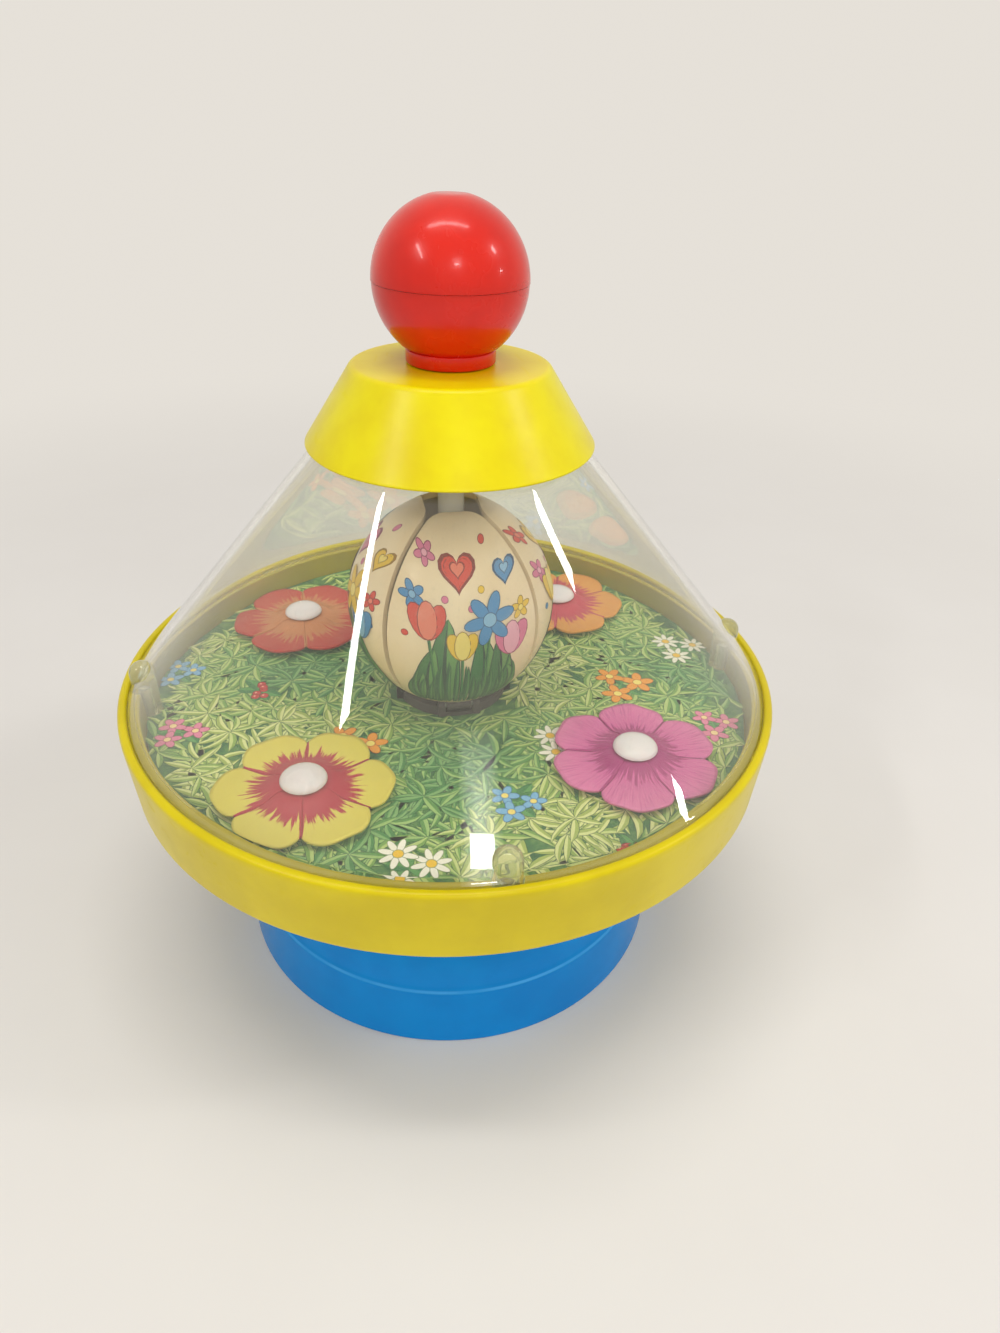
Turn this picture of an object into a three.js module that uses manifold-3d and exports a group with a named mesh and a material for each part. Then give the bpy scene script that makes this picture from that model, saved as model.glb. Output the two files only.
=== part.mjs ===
// Pump-action spinning top: a clear cone over a meadow disc with four turning flowers and a four-petal egg.
// Millimetres, +Z up. The origin is on the floor, on the spin axis; screws and egg petals lie on the X and Y axes.
import * as THREE from "three";
import { mergeVertices } from "three/addons/utils/BufferGeometryUtils.js";
import Module from "manifold-3d";

const wasm = await Module();
wasm.setup();

// Clearances and cutting
const fitGap = 0.3; // between pieces that are fixed together
const runGap = 0.3; // between pieces that slide or turn on each other
const overrun = 3; // how far a cutter runs past the face it cuts

// Facets of round shapes
const rimFacets = 40;
const capFacets = 28;
const smallFacets = 14;
const pinFacets = 8;
const bossFacets = 12;
const arcSegments = 6;
const cornerSegments = 4;
const eggSteps = 7;
const bossDomeSteps = 2;
const buttonDomeSteps = 4;
const roundMidShare = 1 - Math.SQRT1_2; // of a rounded edge's size, from its corner to its middle

// Foot: a moulded dome, open below
const footRadius = 72.5;
const footBandHeight = 20;
const footBandTopRadius = 70;
const footEdge = 1.2;
const footHeight = 68.2;
const footCrownRadius = 14;
const footWall = 2.4;
const footRibThickness = 2;
const footRibFloor = 34;
const footBossWall = 2.6;
const footDomePower = 1.6;
const footDomeSteps = 5;

// Centre post with its square bore, and the guide that slides in it
const guideSide = 7;
const guideLength = 12;
const postWall = 1.8;
const postPlug = 6;
const postFlangeReach = 5.8;
const postFlangeThickness = 2;
const postHeadroom = 5.4;
const stroke = 75; // how far the knob pulls up

// Screw below the post
const postScrewRadius = 2;
const postScrewHeadRadius = 9;
const postScrewHeadHeight = 2.5;
const postScrewBite = 5;
const driveSlotWidth = 1.2;
const driveSlotDepth = 1;

// Washer, bushes and clip of the spin bearing
const washerThickness = 1.5;
const bushWall = 1.1;
const bushFlange = 1.1;
const bushFlangeReach = 1.6;
const bushLength = 8;
const clipThickness = 1;
const clipReach = 2.2;
const clipBite = 0.57;
const clipTopLand = 0.8;
const clipMouthAngle = 0.9;

// Pan: plate, hub, rim with a ledge, skirt and ribs
const panRadius = 101.35;
const panDraft = 1.35; // how much narrower the skirt's lower end is than its rim
const panSkirtDrop = 0.75;
const panHubDepth = 10.7; // from the hub's lower end to the top of the plate
const panPlate = 1.8;
const panWall = 2.4;
const panRimHeight = 11.8; // from the plate to the top of the rim
const panLedgeDepth = 2.3;
const panLedgeWidth = 4;
const panLedgeThickness = 1.8;
const panUpstandWall = 1.8;
const panLipWidth = 2.65;
const panLipRound = 0.53;
const panEdge = 1.3;
const panHubWall = 2.6;
const panRibThickness = 1.8;
const panRibDepth = 4.2;
const panRibCount = 8;

// Printed disc
const discThickness = 1;

// Clear cone with its four screw bosses
const lugCount = 4;
const coneWall = 2;
const coneFlangeHeight = 1.8;
const coneHeight = 83.2;
const coneTopRadius = 27.9;
const coneTopPlate = 2;
const coneShoulder = 0.3;
const bossRadius = 3.9;
const bossHeight = 19; // from the plate to the top of its dome
const skirtWall = 1.3;
const skirtLength = 10;

// Screws that hold the cone
const screwRadius = 1.4;
const screwHeadRadius = 3;
const screwHeadHeight = 1.8;
const screwReach = 9.4; // above the plate
const pillarWall = 1.5;
const pillarDepth = 6;
const pillarSink = 1;

// Collar
const collarOverlap = 10.5;
const collarHeight = 21;
const collarStep = 3.65;
const collarTopRadius = 26.7;
const collarWall = 2.2;
const collarRoof = 2.4;
const collarEdge = 1.8;
const collarSeatRadius = 22;
const collarRingWall = 1.8;
const collarHoleClearance = 0.8;

// Knob in two halves
const knobRadius = 20.3;
const knobSeamStep = 0.3;
const knobWall = 2.4;
const knobFlatRadius = 4.7;
const knobFlangeRadius = 12;
const knobFlangeHeight = 3.2;
const knobGrooveDepth = 0.8;
const knobFlangeEdge = 0.4;
const knobGrooveHeight = 1;
const knobStemWall = 2.5;
const knobStemHeight = 13;
const knobLipHeight = 2;
const knobLipWall = 1.3;
const knobArcSteps = 5;

// Twisted rod
const rodWidth = 5;
const rodThickness = 1.6;
const rodLead = 60; // height of one full turn
const rodStepsPerTurn = 24;
const rodEmbed = 11.2;
const rodSlack = 0.45; // round the rod in its slots

// Drive nut and clutch ring with saw teeth
const nutStemRadius = 5.2;
const nutStemLength = 10.7;
const nutRadius = 13;
const nutFlange = 1.8;
const toothCount = 12;
const toothHeight = 1.2;
const toothBandWidth = 4;
const toothGap = 0.4;
const toothSteepShare = 0.06;
const clutchPlate = 1.6;

// Guide tube
const tubeRadius = 3.8;
const tubeWall = 0.9;

// Egg and its carrier
const eggRadius = 31.4;
const eggFootRise = 0.6; // egg's lower edge above the hinge line
const eggWideRise = 29.4; // widest place above the hinge line
const eggTopRise = 60.6; // top edge above the hinge line
const eggTopRadius = 8.75;
const eggMouthRadius = 8;
const eggWall = 1.8;
const eggSplit = 1.7; // width of the gap between two petals
const eggCornerReach = 2.6; // of a petal's round top corners, along its edges
const eggTopPower = 0.6; // 0.5 is an ellipse, more is sharper
const petalCount = 4;
const carrierWall = 1.5;
const carrierPlate = 1.4;
const carrierRimHeight = 3.3;
const hingeHeight = 4; // hinge line above the printed disc
const ringReach = 1.4; // ring's edge beyond the hinge line
const ringWall = 3;

// Hinges of the petals
const hingePinRadius = 1;
const knuckleWall = 0.42;
const knuckleHalfLength = 3.8;
const earWall = 0.8;
const earThickness = 2.2;
const toeLength = 4;
const toeRadius = 0.7;
const toeContactShare = 0.8; // of the toe's radius, under the sleeve's flange
const toeHalfWidth = 2.2;
const toeDrop = THREE.MathUtils.degToRad(15);

// Sleeve, spring and cap that close the egg
const sleeveBarrelWall = 1.23;
const sleeveFlangeReach = 1;
const sleeveFlangeHeight = 1.5;
const sleeveHeight = 7.5;
const sleeveRise = 0.15; // sleeve's lower face above the hinge line
const wireRadius = 0.5;
const springRoom = 8.35; // from the sleeve to the cap at rest
const springTurns = 3;
const springStepsPerTurn = 12;
const springSides = 5;
const capWall = 1.73;
const capRoof = 1.8;
const capSkirt = 3.5;
const capSocketHeight = 5.6;
const capSocketWall = 1.5;

// Flowers and their pins
const flowerCount = 4;
const flowerRadius = 25;
const flowerWallGap = 2.7;
const flowerPetals = 6;
const flowerPetalLength = 20.5;
const flowerPetalWidth = 24;
const flowerPetalThickness = 1.5;
const flowerTilt = THREE.MathUtils.degToRad(5);
const flowerHubRadius = 7.5;
const flowerHubThickness = 2.2;
const flowerPinRadius = 2;
const flowerSeatWall = 2.9;
const flowerSeatRise = 1.4; // above the printed disc
const flowerHeadRadius = 6.5;
const flowerHeadHeight = 3.2;
const flowerHeadRise = 1;
const flowerPinBelow = 5.7;

// Heights, from the floor upwards
const postFlangeBottom = footHeight + fitGap;
const postFlangeTop = postFlangeBottom + postFlangeThickness;
const washerBottom = postFlangeTop + fitGap;
const bushBottom = washerBottom + washerThickness + runGap;
const hubBottom = bushBottom + bushFlange + fitGap;
const panBottom = hubBottom - panSkirtDrop;
const plateTop = hubBottom + panHubDepth;
const plateBottom = plateTop - panPlate;
const rimTop = plateTop + panRimHeight;
const ledgeTop = rimTop - panLedgeDepth;
const discBottom = plateTop + fitGap;
const discTop = discBottom + discThickness;
const hingeZ = discTop + hingeHeight;
const coneBottom = ledgeTop + fitGap;
const coneStart = coneBottom + coneFlangeHeight;
const coneTop = coneStart + coneHeight;
const plateUnderCollar = coneTop - coneTopPlate;
const collarBottom = coneTop - collarOverlap;
const collarTop = collarBottom + collarHeight;
const knobBottom = collarTop + runGap;

// Radii, from the axis outwards
const guideBoreSide = guideSide + 2 * runGap;
const postRadius = guideBoreSide / Math.SQRT2 + postWall;
const bushBore = postRadius + runGap;
const bushRadius = bushBore + bushWall;
const carrierBore = bushRadius + fitGap;
const carrierRadius = carrierBore + carrierWall;
const sleeveBore = carrierRadius + runGap;
const sleeveFlangeRadius = sleeveBore + sleeveBarrelWall + sleeveFlangeReach;
const hingeRadius = sleeveFlangeRadius + toeLength * Math.cos(toeDrop) - toeRadius * toeContactShare;
const ringRadius = hingeRadius + ringReach;
const ringInnerRadius = ringRadius - ringWall;
const hubBore = carrierRadius + fitGap;
const hubRadius = hubBore + panHubWall;
const panFootRadius = panRadius - panDraft;
const lipInnerRadius = panRadius - panLipWidth;
const panInnerRadius = lipInnerRadius - panLedgeWidth;
const coneFlangeRadius = lipInnerRadius - fitGap;
const bossCircle = coneFlangeRadius - bossRadius;
const flowerCircle = panInnerRadius - flowerWallGap - flowerRadius;
const tubeBore = tubeRadius - tubeWall;
const tubeSeatBore = tubeRadius + fitGap;
const nutBore = nutStemRadius + 2 * runGap;

// Heights of the working parts: up from the egg's sleeve to the post's top, then down to the foot's boss
const sleeveBottom = hingeZ + sleeveRise;
const sleeveTop = sleeveBottom + sleeveHeight;
const capBottom = sleeveTop + springRoom;
const carrierTop = capBottom + capSkirt;
const upperBushTop = carrierTop + fitGap + bushFlange;
const clipBottom = upperBushTop + runGap;
const clipTop = clipBottom + clipThickness;
const postTop = clipTop + clipTopLand;
const capRoofBottom = postTop + runGap;
const capRoofTop = capRoofBottom + capRoof;
const guideRest = postTop - postHeadroom - stroke - guideLength;
const postBottom = guideRest - runGap - postPlug;
const footBossBottom = postBottom - fitGap;
const clutchBottom = coneTop + fitGap;
const clutchTop = clutchBottom + clutchPlate;
const nutToothBottom = clutchTop + toothHeight + toothGap;
const nutFlangeBottom = nutToothBottom + toothHeight;
const nutFlangeTop = nutFlangeBottom + nutFlange;
const nutBottom = nutFlangeBottom - nutStemLength;
const tubeTop = nutBottom - runGap;
const skirtBottom = plateUnderCollar - skirtLength + coneTopPlate;
const knobNeck = knobBottom + knobFlangeHeight;
const knobCentre = knobNeck + Math.sqrt(knobRadius ** 2 - (knobFlangeRadius - knobSeamStep) ** 2);

// Solids and meshes

function solid(geometry) {
  const bare = geometry.clone();
  bare.deleteAttribute("normal");
  bare.deleteAttribute("uv");
  const merged = mergeVertices(bare, 1e-4);
  const mesh = new wasm.Mesh({
    numProp: 3,
    vertProperties: merged.attributes.position.array,
    triVerts: new Uint32Array(merged.index.array),
  });
  return new wasm.Manifold(mesh);
}

function geometryOf(shape) {
  const mesh = shape.getMesh();
  const geometry = new THREE.BufferGeometry();
  geometry.setAttribute("position", new THREE.BufferAttribute(mesh.vertProperties, mesh.numProp));
  geometry.setIndex(new THREE.BufferAttribute(mesh.triVerts, 1));
  const flat = geometry.toNonIndexed();
  flat.computeVertexNormals();
  return flat;
}

function fused(...shapes) {
  return shapes.reduce((all, next) => all.add(next));
}

function without(shape, ...cutters) {
  return cutters.reduce((rest, cutter) => rest.subtract(cutter), shape);
}

// A profile of [radius, height] points, anticlockwise with the axis on the left, turned about Z.
function turned(profile, facets) {
  const points = profile.map(([r, z]) => new THREE.Vector2(r, z));
  const geometry = new THREE.LatheGeometry(points, facets);
  geometry.rotateX(Math.PI / 2);
  geometry.rotateZ(Math.PI / 2);
  return solid(geometry);
}

function drum(radius, bottom, top, facets) {
  return turned([[0, bottom], [radius, bottom], [radius, top], [0, top]], facets);
}

function ring(inner, outer, bottom, top, facets) {
  return turned([[inner, bottom], [outer, bottom], [outer, top], [inner, top], [inner, bottom]], facets);
}

function block(sizeX, sizeY, bottom, top) {
  const geometry = new THREE.BoxGeometry(sizeX, sizeY, top - bottom);
  geometry.translate(0, 0, (top + bottom) / 2);
  return solid(geometry);
}

function moved(shape, x, y, z = 0) {
  return shape.translate([x, y, z]);
}

function turnedBy(shape, angle) {
  return shape.rotate([0, 0, THREE.MathUtils.radToDeg(angle)]);
}

// The angle of one of several equal places round the axis, counted from -Y.
function placeAngle(index, count) {
  return (index * 2 * Math.PI) / count;
}

// A shape drawn at -Y, turned to one of several equal places.
function placed(shape, index, count, offset = 0) {
  return turnedBy(shape, placeAngle(index, count) + offset);
}

// An outline in the radial plane (x outward, y up), extruded along the tangent at -Y, centred on the plane.
function sideExtrusion(outline, halfWidth) {
  const geometry = new THREE.ExtrudeGeometry(outline, {
    depth: 2 * halfWidth,
    bevelEnabled: false,
    curveSegments: arcSegments,
  });
  geometry.translate(0, 0, -halfWidth);
  geometry.rotateX(Math.PI / 2);
  geometry.rotateZ(-Math.PI / 2);
  return solid(geometry);
}

// An outline in the plan (x, y), extruded upwards.
function plate(outline, bottom, top, curveSegments) {
  const geometry = new THREE.ExtrudeGeometry(outline, { depth: top - bottom, bevelEnabled: false, curveSegments });
  geometry.translate(0, 0, bottom);
  return solid(geometry);
}

// A closed surface through rings of points that all have the same count, with flat ends.
function skinned(rings) {
  const count = rings[0].length;
  const positions = [];
  const corner = (ringIndex, pointIndex) => rings[ringIndex][pointIndex % count];
  const triangle = (a, b, c) => positions.push(...a, ...b, ...c);
  for (let i = 0; i + 1 < rings.length; i++) {
    for (let j = 0; j < count; j++) {
      triangle(corner(i, j), corner(i, j + 1), corner(i + 1, j + 1));
      triangle(corner(i, j), corner(i + 1, j + 1), corner(i + 1, j));
    }
  }
  const last = rings.length - 1;
  for (let j = 1; j + 1 < count; j++) {
    triangle(corner(0, 0), corner(0, j + 1), corner(0, j));
    triangle(corner(last, 0), corner(last, j), corner(last, j + 1));
  }
  const geometry = new THREE.BufferGeometry();
  geometry.setAttribute("position", new THREE.Float32BufferAttribute(positions, 3));
  return solid(geometry);
}

const root = new THREE.Group();

function addMesh(name, shape, color, roughness, metalness = 0) {
  const material = new THREE.MeshStandardMaterial({ color, roughness, metalness });
  const mesh = new THREE.Mesh(geometryOf(shape), material);
  mesh.name = name;
  root.add(mesh);
  return mesh;
}

// Foot

// The dome's outline from its rim to its crown, inset by a wall.
function footOutline(inset) {
  const shoulder = footBandTopRadius - footEdge - inset;
  const crown = footHeight - inset;
  const points = [
    [footRadius - inset, 0],
    [footBandTopRadius - inset, footBandHeight - footEdge - inset],
    [shoulder, footBandHeight - inset],
  ];
  for (let i = 1; i <= footDomeSteps; i++) {
    const angle = (i / footDomeSteps) * (Math.PI / 2);
    const across = Math.cos(angle) ** (2 / footDomePower);
    const up = Math.sin(angle) ** (2 / footDomePower);
    const radius = footCrownRadius + (shoulder - footCrownRadius) * across;
    points.push([radius, footBandHeight - inset + (crown - footBandHeight + inset) * up]);
  }
  return points;
}

function makeFoot() {
  const outer = turned([[0, 0], ...footOutline(0), [0, footHeight]], rimFacets);
  const hollowOutline = footOutline(footWall);
  const rim = hollowOutline[0][0];
  const hollow = turned(
    [[0, -overrun], [rim, -overrun], ...hollowOutline, [0, footHeight - footWall]],
    rimFacets,
  );
  const boss = drum(postRadius + fitGap + footBossWall, footBossBottom, footHeight, smallFacets);
  const rib = block(2 * footRadius, footRibThickness, footRibFloor, footHeight).intersect(outer);
  const ribs = [1, 3].map((eighth) => turnedBy(rib, (eighth * Math.PI) / 4));
  const body = fused(without(outer, hollow), boss, ...ribs);
  return without(body, drum(postRadius + fitGap, -overrun, footHeight + overrun, smallFacets));
}

addMesh("base_foot", makeFoot(), 0x1183cf, 0.38);

// Centre post and its screw

function makePost() {
  const shaft = drum(postRadius, postBottom, postTop, smallFacets);
  const flange = drum(postRadius + postFlangeReach, postFlangeBottom, postFlangeTop, smallFacets);
  const bore = block(guideBoreSide, guideBoreSide, postBottom + postPlug, postTop + overrun);
  const pilot = drum(postScrewRadius + fitGap, postBottom - overrun, postBottom + postPlug + overrun, pinFacets);
  const grooveRadius = postRadius - clipBite - fitGap;
  const groove = ring(
    grooveRadius,
    postRadius + overrun,
    clipBottom - fitGap,
    clipTop + fitGap,
    smallFacets,
  );
  return without(fused(shaft, flange), bore, pilot, groove);
}

addMesh("centre_post", makePost(), 0xe6e2d8, 0.45);

function makePostScrew() {
  const headTop = footBossBottom - fitGap;
  const headBottom = headTop - postScrewHeadHeight;
  const head = drum(postScrewHeadRadius, headBottom, headTop, smallFacets);
  const shank = drum(postScrewRadius, headTop - postScrewHeadHeight / 2, headTop + postScrewBite, pinFacets);
  const slotTop = headBottom + driveSlotDepth;
  const slot = block(postScrewHeadRadius, driveSlotWidth, headBottom - overrun, slotTop);
  const cross = turnedBy(slot, Math.PI / 2);
  return without(fused(head, shank), slot, cross);
}

addMesh("post_screw", makePostScrew(), 0x9a9da1, 0.35, 0.9);

// Washer, bushes and clip

function makeWasher() {
  return ring(bushBore, postRadius + postFlangeReach, washerBottom, washerBottom + washerThickness, capFacets / 2);
}

addMesh("thrust_washer", makeWasher(), 0xd9d6cc, 0.4);

function makeBush(barrelBottom, barrelTop, flangeBottom) {
  const barrel = ring(bushBore, bushRadius, barrelBottom, barrelTop, smallFacets);
  const flangeRadius = bushRadius + bushFlangeReach;
  const flange = ring(bushBore, flangeRadius, flangeBottom, flangeBottom + bushFlange, smallFacets);
  return fused(barrel, flange);
}

addMesh("hub_bush_lower", makeBush(bushBottom, bushBottom + bushLength, bushBottom), 0xd9d6cc, 0.4);

const upperFlange = upperBushTop - bushFlange;
addMesh("hub_bush_upper", makeBush(upperBushTop - bushLength, upperBushTop, upperFlange), 0xd9d6cc, 0.4);

function makeClip() {
  const inner = postRadius - clipBite;
  const outer = inner + clipReach;
  const outline = new THREE.Shape();
  const mouth = clipMouthAngle / 2;
  outline.absarc(0, 0, outer, mouth, 2 * Math.PI - mouth, false);
  outline.absarc(0, 0, inner, 2 * Math.PI - mouth, mouth, true);
  return plate(outline, clipBottom, clipTop, smallFacets);
}

addMesh("post_clip", makeClip(), 0xa7abb0, 0.3, 0.95);

// Pan

function panOutline() {
  const outerFoot = panFootRadius;
  const rimShoulder = ledgeTop;
  const grooveOuter = panRadius - panWall;
  const upstandOuter = panInnerRadius + panUpstandWall;
  const ledgeBottom = ledgeTop - panLedgeThickness;
  return [
    [hubBore, hubBottom],
    [hubRadius, hubBottom],
    [hubRadius, plateBottom],
    [upstandOuter, plateBottom],
    [upstandOuter, ledgeBottom],
    [grooveOuter, ledgeBottom],
    [outerFoot - panWall, panBottom],
    [outerFoot - panEdge, panBottom],
    [outerFoot, panBottom + panEdge],
    [panRadius, rimShoulder],
    [panRadius - panLipRound, rimTop - panLipRound],
    [panRadius - panLipWidth / 2, rimTop],
    [lipInnerRadius, rimTop - panLipRound],
    [lipInnerRadius, ledgeTop],
    [panInnerRadius, ledgeTop],
    [panInnerRadius, plateTop],
    [hubBore, plateTop],
    [hubBore, hubBottom],
  ];
}

function makePan() {
  const body = turned(panOutline(), rimFacets);
  const ribInner = (hubBore + hubRadius) / 2;
  const ribOuter = panFootRadius - panWall / 2;
  const ribBottom = plateBottom - panRibDepth;
  const ribShape = block(panRibThickness, ribOuter - ribInner, ribBottom, plateTop - panPlate / 2);
  const rib = moved(ribShape, 0, -(ribInner + ribOuter) / 2);
  const ribs = Array.from({ length: panRibCount }, (_, i) => placed(rib, i, panRibCount));
  const pillarRadius = screwHeadRadius + fitGap + pillarWall;
  const pillarBottom = plateBottom - pillarDepth;
  const pillar = moved(drum(pillarRadius, pillarBottom, plateTop, smallFacets), 0, -bossCircle);
  const shank = moved(
    drum(screwRadius + fitGap, pillarBottom - overrun, plateTop + overrun, pinFacets),
    0,
    -bossCircle,
  );
  const sink = moved(
    drum(screwHeadRadius + fitGap, pillarBottom - overrun, screwHeadTop() + fitGap, smallFacets),
    0,
    -bossCircle,
  );
  const recess = moved(drum(bossRadius + fitGap, plateTop, rimTop + overrun, bossFacets), 0, -bossCircle);
  const seatRadius = flowerPinRadius + fitGap + flowerSeatWall;
  const seatBottom = plateBottom - pillarDepth;
  const seat = moved(drum(seatRadius, seatBottom, discTop + flowerSeatRise, smallFacets), 0, -flowerCircle);
  const seatBore = moved(
    drum(flowerPinRadius + fitGap, seatBottom - overrun, rimTop, pinFacets),
    0,
    -flowerCircle,
  );
  const eighth = Math.PI / flowerCount;
  const spread = (shape, count, offset = 0) =>
    Array.from({ length: count }, (_, i) => placed(shape, i, count, offset));
  const solidPan = fused(
    body,
    ...ribs,
    ...spread(pillar, lugCount),
    ...spread(seat, flowerCount, eighth),
  );
  return without(
    solidPan,
    ...spread(recess, lugCount),
    ...spread(shank, lugCount),
    ...spread(sink, lugCount),
    ...spread(seatBore, flowerCount, eighth),
  );
}

function screwHeadTop() {
  return plateBottom - pillarDepth + pillarSink + screwHeadHeight;
}

addMesh("pan", makePan(), 0xe8d81e, 0.35);

// Printed disc

function makeDisc() {
  const body = ring(ringInnerRadius, panInnerRadius - fitGap, discBottom, discTop, rimFacets);
  const notch = moved(
    drum(bossRadius + fitGap, discBottom - overrun, discTop + overrun, bossFacets),
    0,
    -bossCircle,
  );
  const seatHole = moved(
    drum(flowerPinRadius + flowerSeatWall + 2 * fitGap, discBottom - overrun, discTop + overrun, smallFacets),
    0,
    -flowerCircle,
  );
  const notches = Array.from({ length: lugCount }, (_, i) => placed(notch, i, lugCount));
  const holes = Array.from({ length: flowerCount }, (_, i) =>
    placed(seatHole, i, flowerCount, Math.PI / flowerCount),
  );
  return without(body, ...notches, ...holes);
}

addMesh("meadow_disc", makeDisc(), 0x6f9a4a, 0.55);

// Clear cone and its screws

const coneBaseRadius = coneFlangeRadius - coneShoulder;
const coneSlope = (coneBaseRadius - coneTopRadius) / coneHeight;
const coneWallAcross = coneWall * Math.hypot(1, coneSlope);

function coneRadiusAt(height) {
  return coneBaseRadius - coneSlope * (height - coneStart);
}

function makeCone() {
  const innerTop = coneRadiusAt(plateUnderCollar) - coneWallAcross;
  const skirtRadius = nutBore + skirtWall;
  const shell = turned(
    [
      [nutBore, plateUnderCollar],
      [innerTop, plateUnderCollar],
      [coneBaseRadius - coneWallAcross, coneStart],
      [coneBaseRadius - coneWallAcross, coneBottom],
      [coneFlangeRadius, coneBottom],
      [coneFlangeRadius, coneStart],
      [coneBaseRadius, coneStart + coneShoulder],
      [coneTopRadius, coneTop],
      [nutBore, coneTop],
      [nutBore, plateUnderCollar],
    ],
    rimFacets,
  );
  const skirt = drum(skirtRadius, skirtBottom, coneTop - coneTopPlate / 2, smallFacets);
  const nutWell = drum(nutBore, tubeTop + fitGap, coneTop + overrun, smallFacets);
  const tubeWell = drum(tubeSeatBore, skirtBottom - overrun, tubeTop + 2 * fitGap, smallFacets);
  const bossBottom = plateTop + fitGap;
  const domeCentre = plateTop + bossHeight - bossRadius;
  const bossOutline = [[0, bossBottom], [bossRadius, bossBottom], [bossRadius, domeCentre]];
  for (let i = 1; i <= bossDomeSteps; i++) {
    const angle = (i / bossDomeSteps) * (Math.PI / 2);
    bossOutline.push([bossRadius * Math.cos(angle), domeCentre + bossRadius * Math.sin(angle)]);
  }
  const boss = moved(turned(bossOutline, bossFacets), 0, -bossCircle);
  const pilot = moved(
    drum(screwRadius + fitGap, bossBottom - overrun, plateTop + screwReach + fitGap, pinFacets),
    0,
    -bossCircle,
  );
  const bosses = Array.from({ length: lugCount }, (_, i) => placed(boss, i, lugCount));
  const pilots = Array.from({ length: lugCount }, (_, i) => placed(pilot, i, lugCount));
  return without(fused(shell, skirt, ...bosses), nutWell, tubeWell, ...pilots);
}

addMesh("clear_cone", makeCone(), 0xeef2ee, 0.08);

function makeScrew() {
  const headTop = screwHeadTop();
  const headBottom = headTop - screwHeadHeight;
  const head = drum(screwHeadRadius, headBottom, headTop, pinFacets);
  const shank = drum(screwRadius, headTop - screwHeadHeight / 2, plateTop + screwReach, pinFacets);
  const slotTop = headBottom + driveSlotDepth;
  const slot = block(screwHeadRadius, driveSlotWidth, headBottom - overrun, slotTop);
  const cross = turnedBy(slot, Math.PI / 2);
  return moved(without(fused(head, shank), slot, cross), 0, -bossCircle);
}

for (let i = 0; i < lugCount; i++) {
  addMesh(`cover_screw_${i + 1}`, placed(makeScrew(), i, lugCount), 0xb9bcc0, 0.3, 0.95);
}

// Collar

function makeCollar() {
  const bottomRadius = coneRadiusAt(collarBottom) + collarStep;
  const roofBottom = collarTop - collarRoof;
  const lean = (bottomRadius - collarTopRadius) / collarHeight;
  const across = collarWall * Math.hypot(1, lean);
  const holeRadius = Math.hypot(rodWidth, rodThickness) / 2 + collarHoleClearance;
  const innerTop = bottomRadius - lean * (roofBottom - collarBottom) - across;
  const shell = turned(
    [
      [holeRadius, roofBottom],
      [innerTop, roofBottom],
      [bottomRadius - across, collarBottom],
      [bottomRadius, collarBottom],
      [collarTopRadius + lean * collarEdge, collarTop - collarEdge],
      [collarTopRadius - collarEdge * roundMidShare, collarTop - collarEdge * roundMidShare],
      [collarTopRadius - collarEdge, collarTop],
      [holeRadius, collarTop],
      [holeRadius, roofBottom],
    ],
    capFacets,
  );
  const rootOverlap = collarRoof / 2;
  const seat = ring(
    collarSeatRadius - collarRingWall,
    collarSeatRadius,
    coneTop + fitGap,
    roofBottom + rootOverlap,
    capFacets / 2,
  );
  const holdRadius = nutRadius - toothBandWidth;
  const holdDown = ring(
    holdRadius - collarRingWall,
    holdRadius,
    nutFlangeTop + runGap,
    roofBottom + rootOverlap,
    smallFacets,
  );
  return fused(shell, seat, holdDown);
}

addMesh("collar", makeCollar(), 0xeadd22, 0.35);

// Knob

function arc(radius, centre, from, to, steps) {
  return Array.from({ length: steps + 1 }, (_, i) => {
    const angle = from + ((to - from) * i) / steps;
    return [radius * Math.cos(angle), centre + radius * Math.sin(angle)];
  });
}

function makeKnobUpper() {
  const seam = knobCentre + fitGap / 2;
  const seamAngle = Math.asin((seam - knobCentre) / knobRadius);
  const innerRadius = knobRadius - knobWall;
  const innerSeam = Math.asin((seam - knobCentre) / innerRadius);
  const outside = arc(knobRadius, knobCentre, seamAngle, Math.acos(knobFlatRadius / knobRadius), knobArcSteps);
  const top = outside[outside.length - 1][1];
  const inside = arc(innerRadius, knobCentre, Math.PI / 2, innerSeam, knobArcSteps);
  inside[0][0] = 0;
  return turned([...inside, ...outside, [0, top]], capFacets);
}

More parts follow.
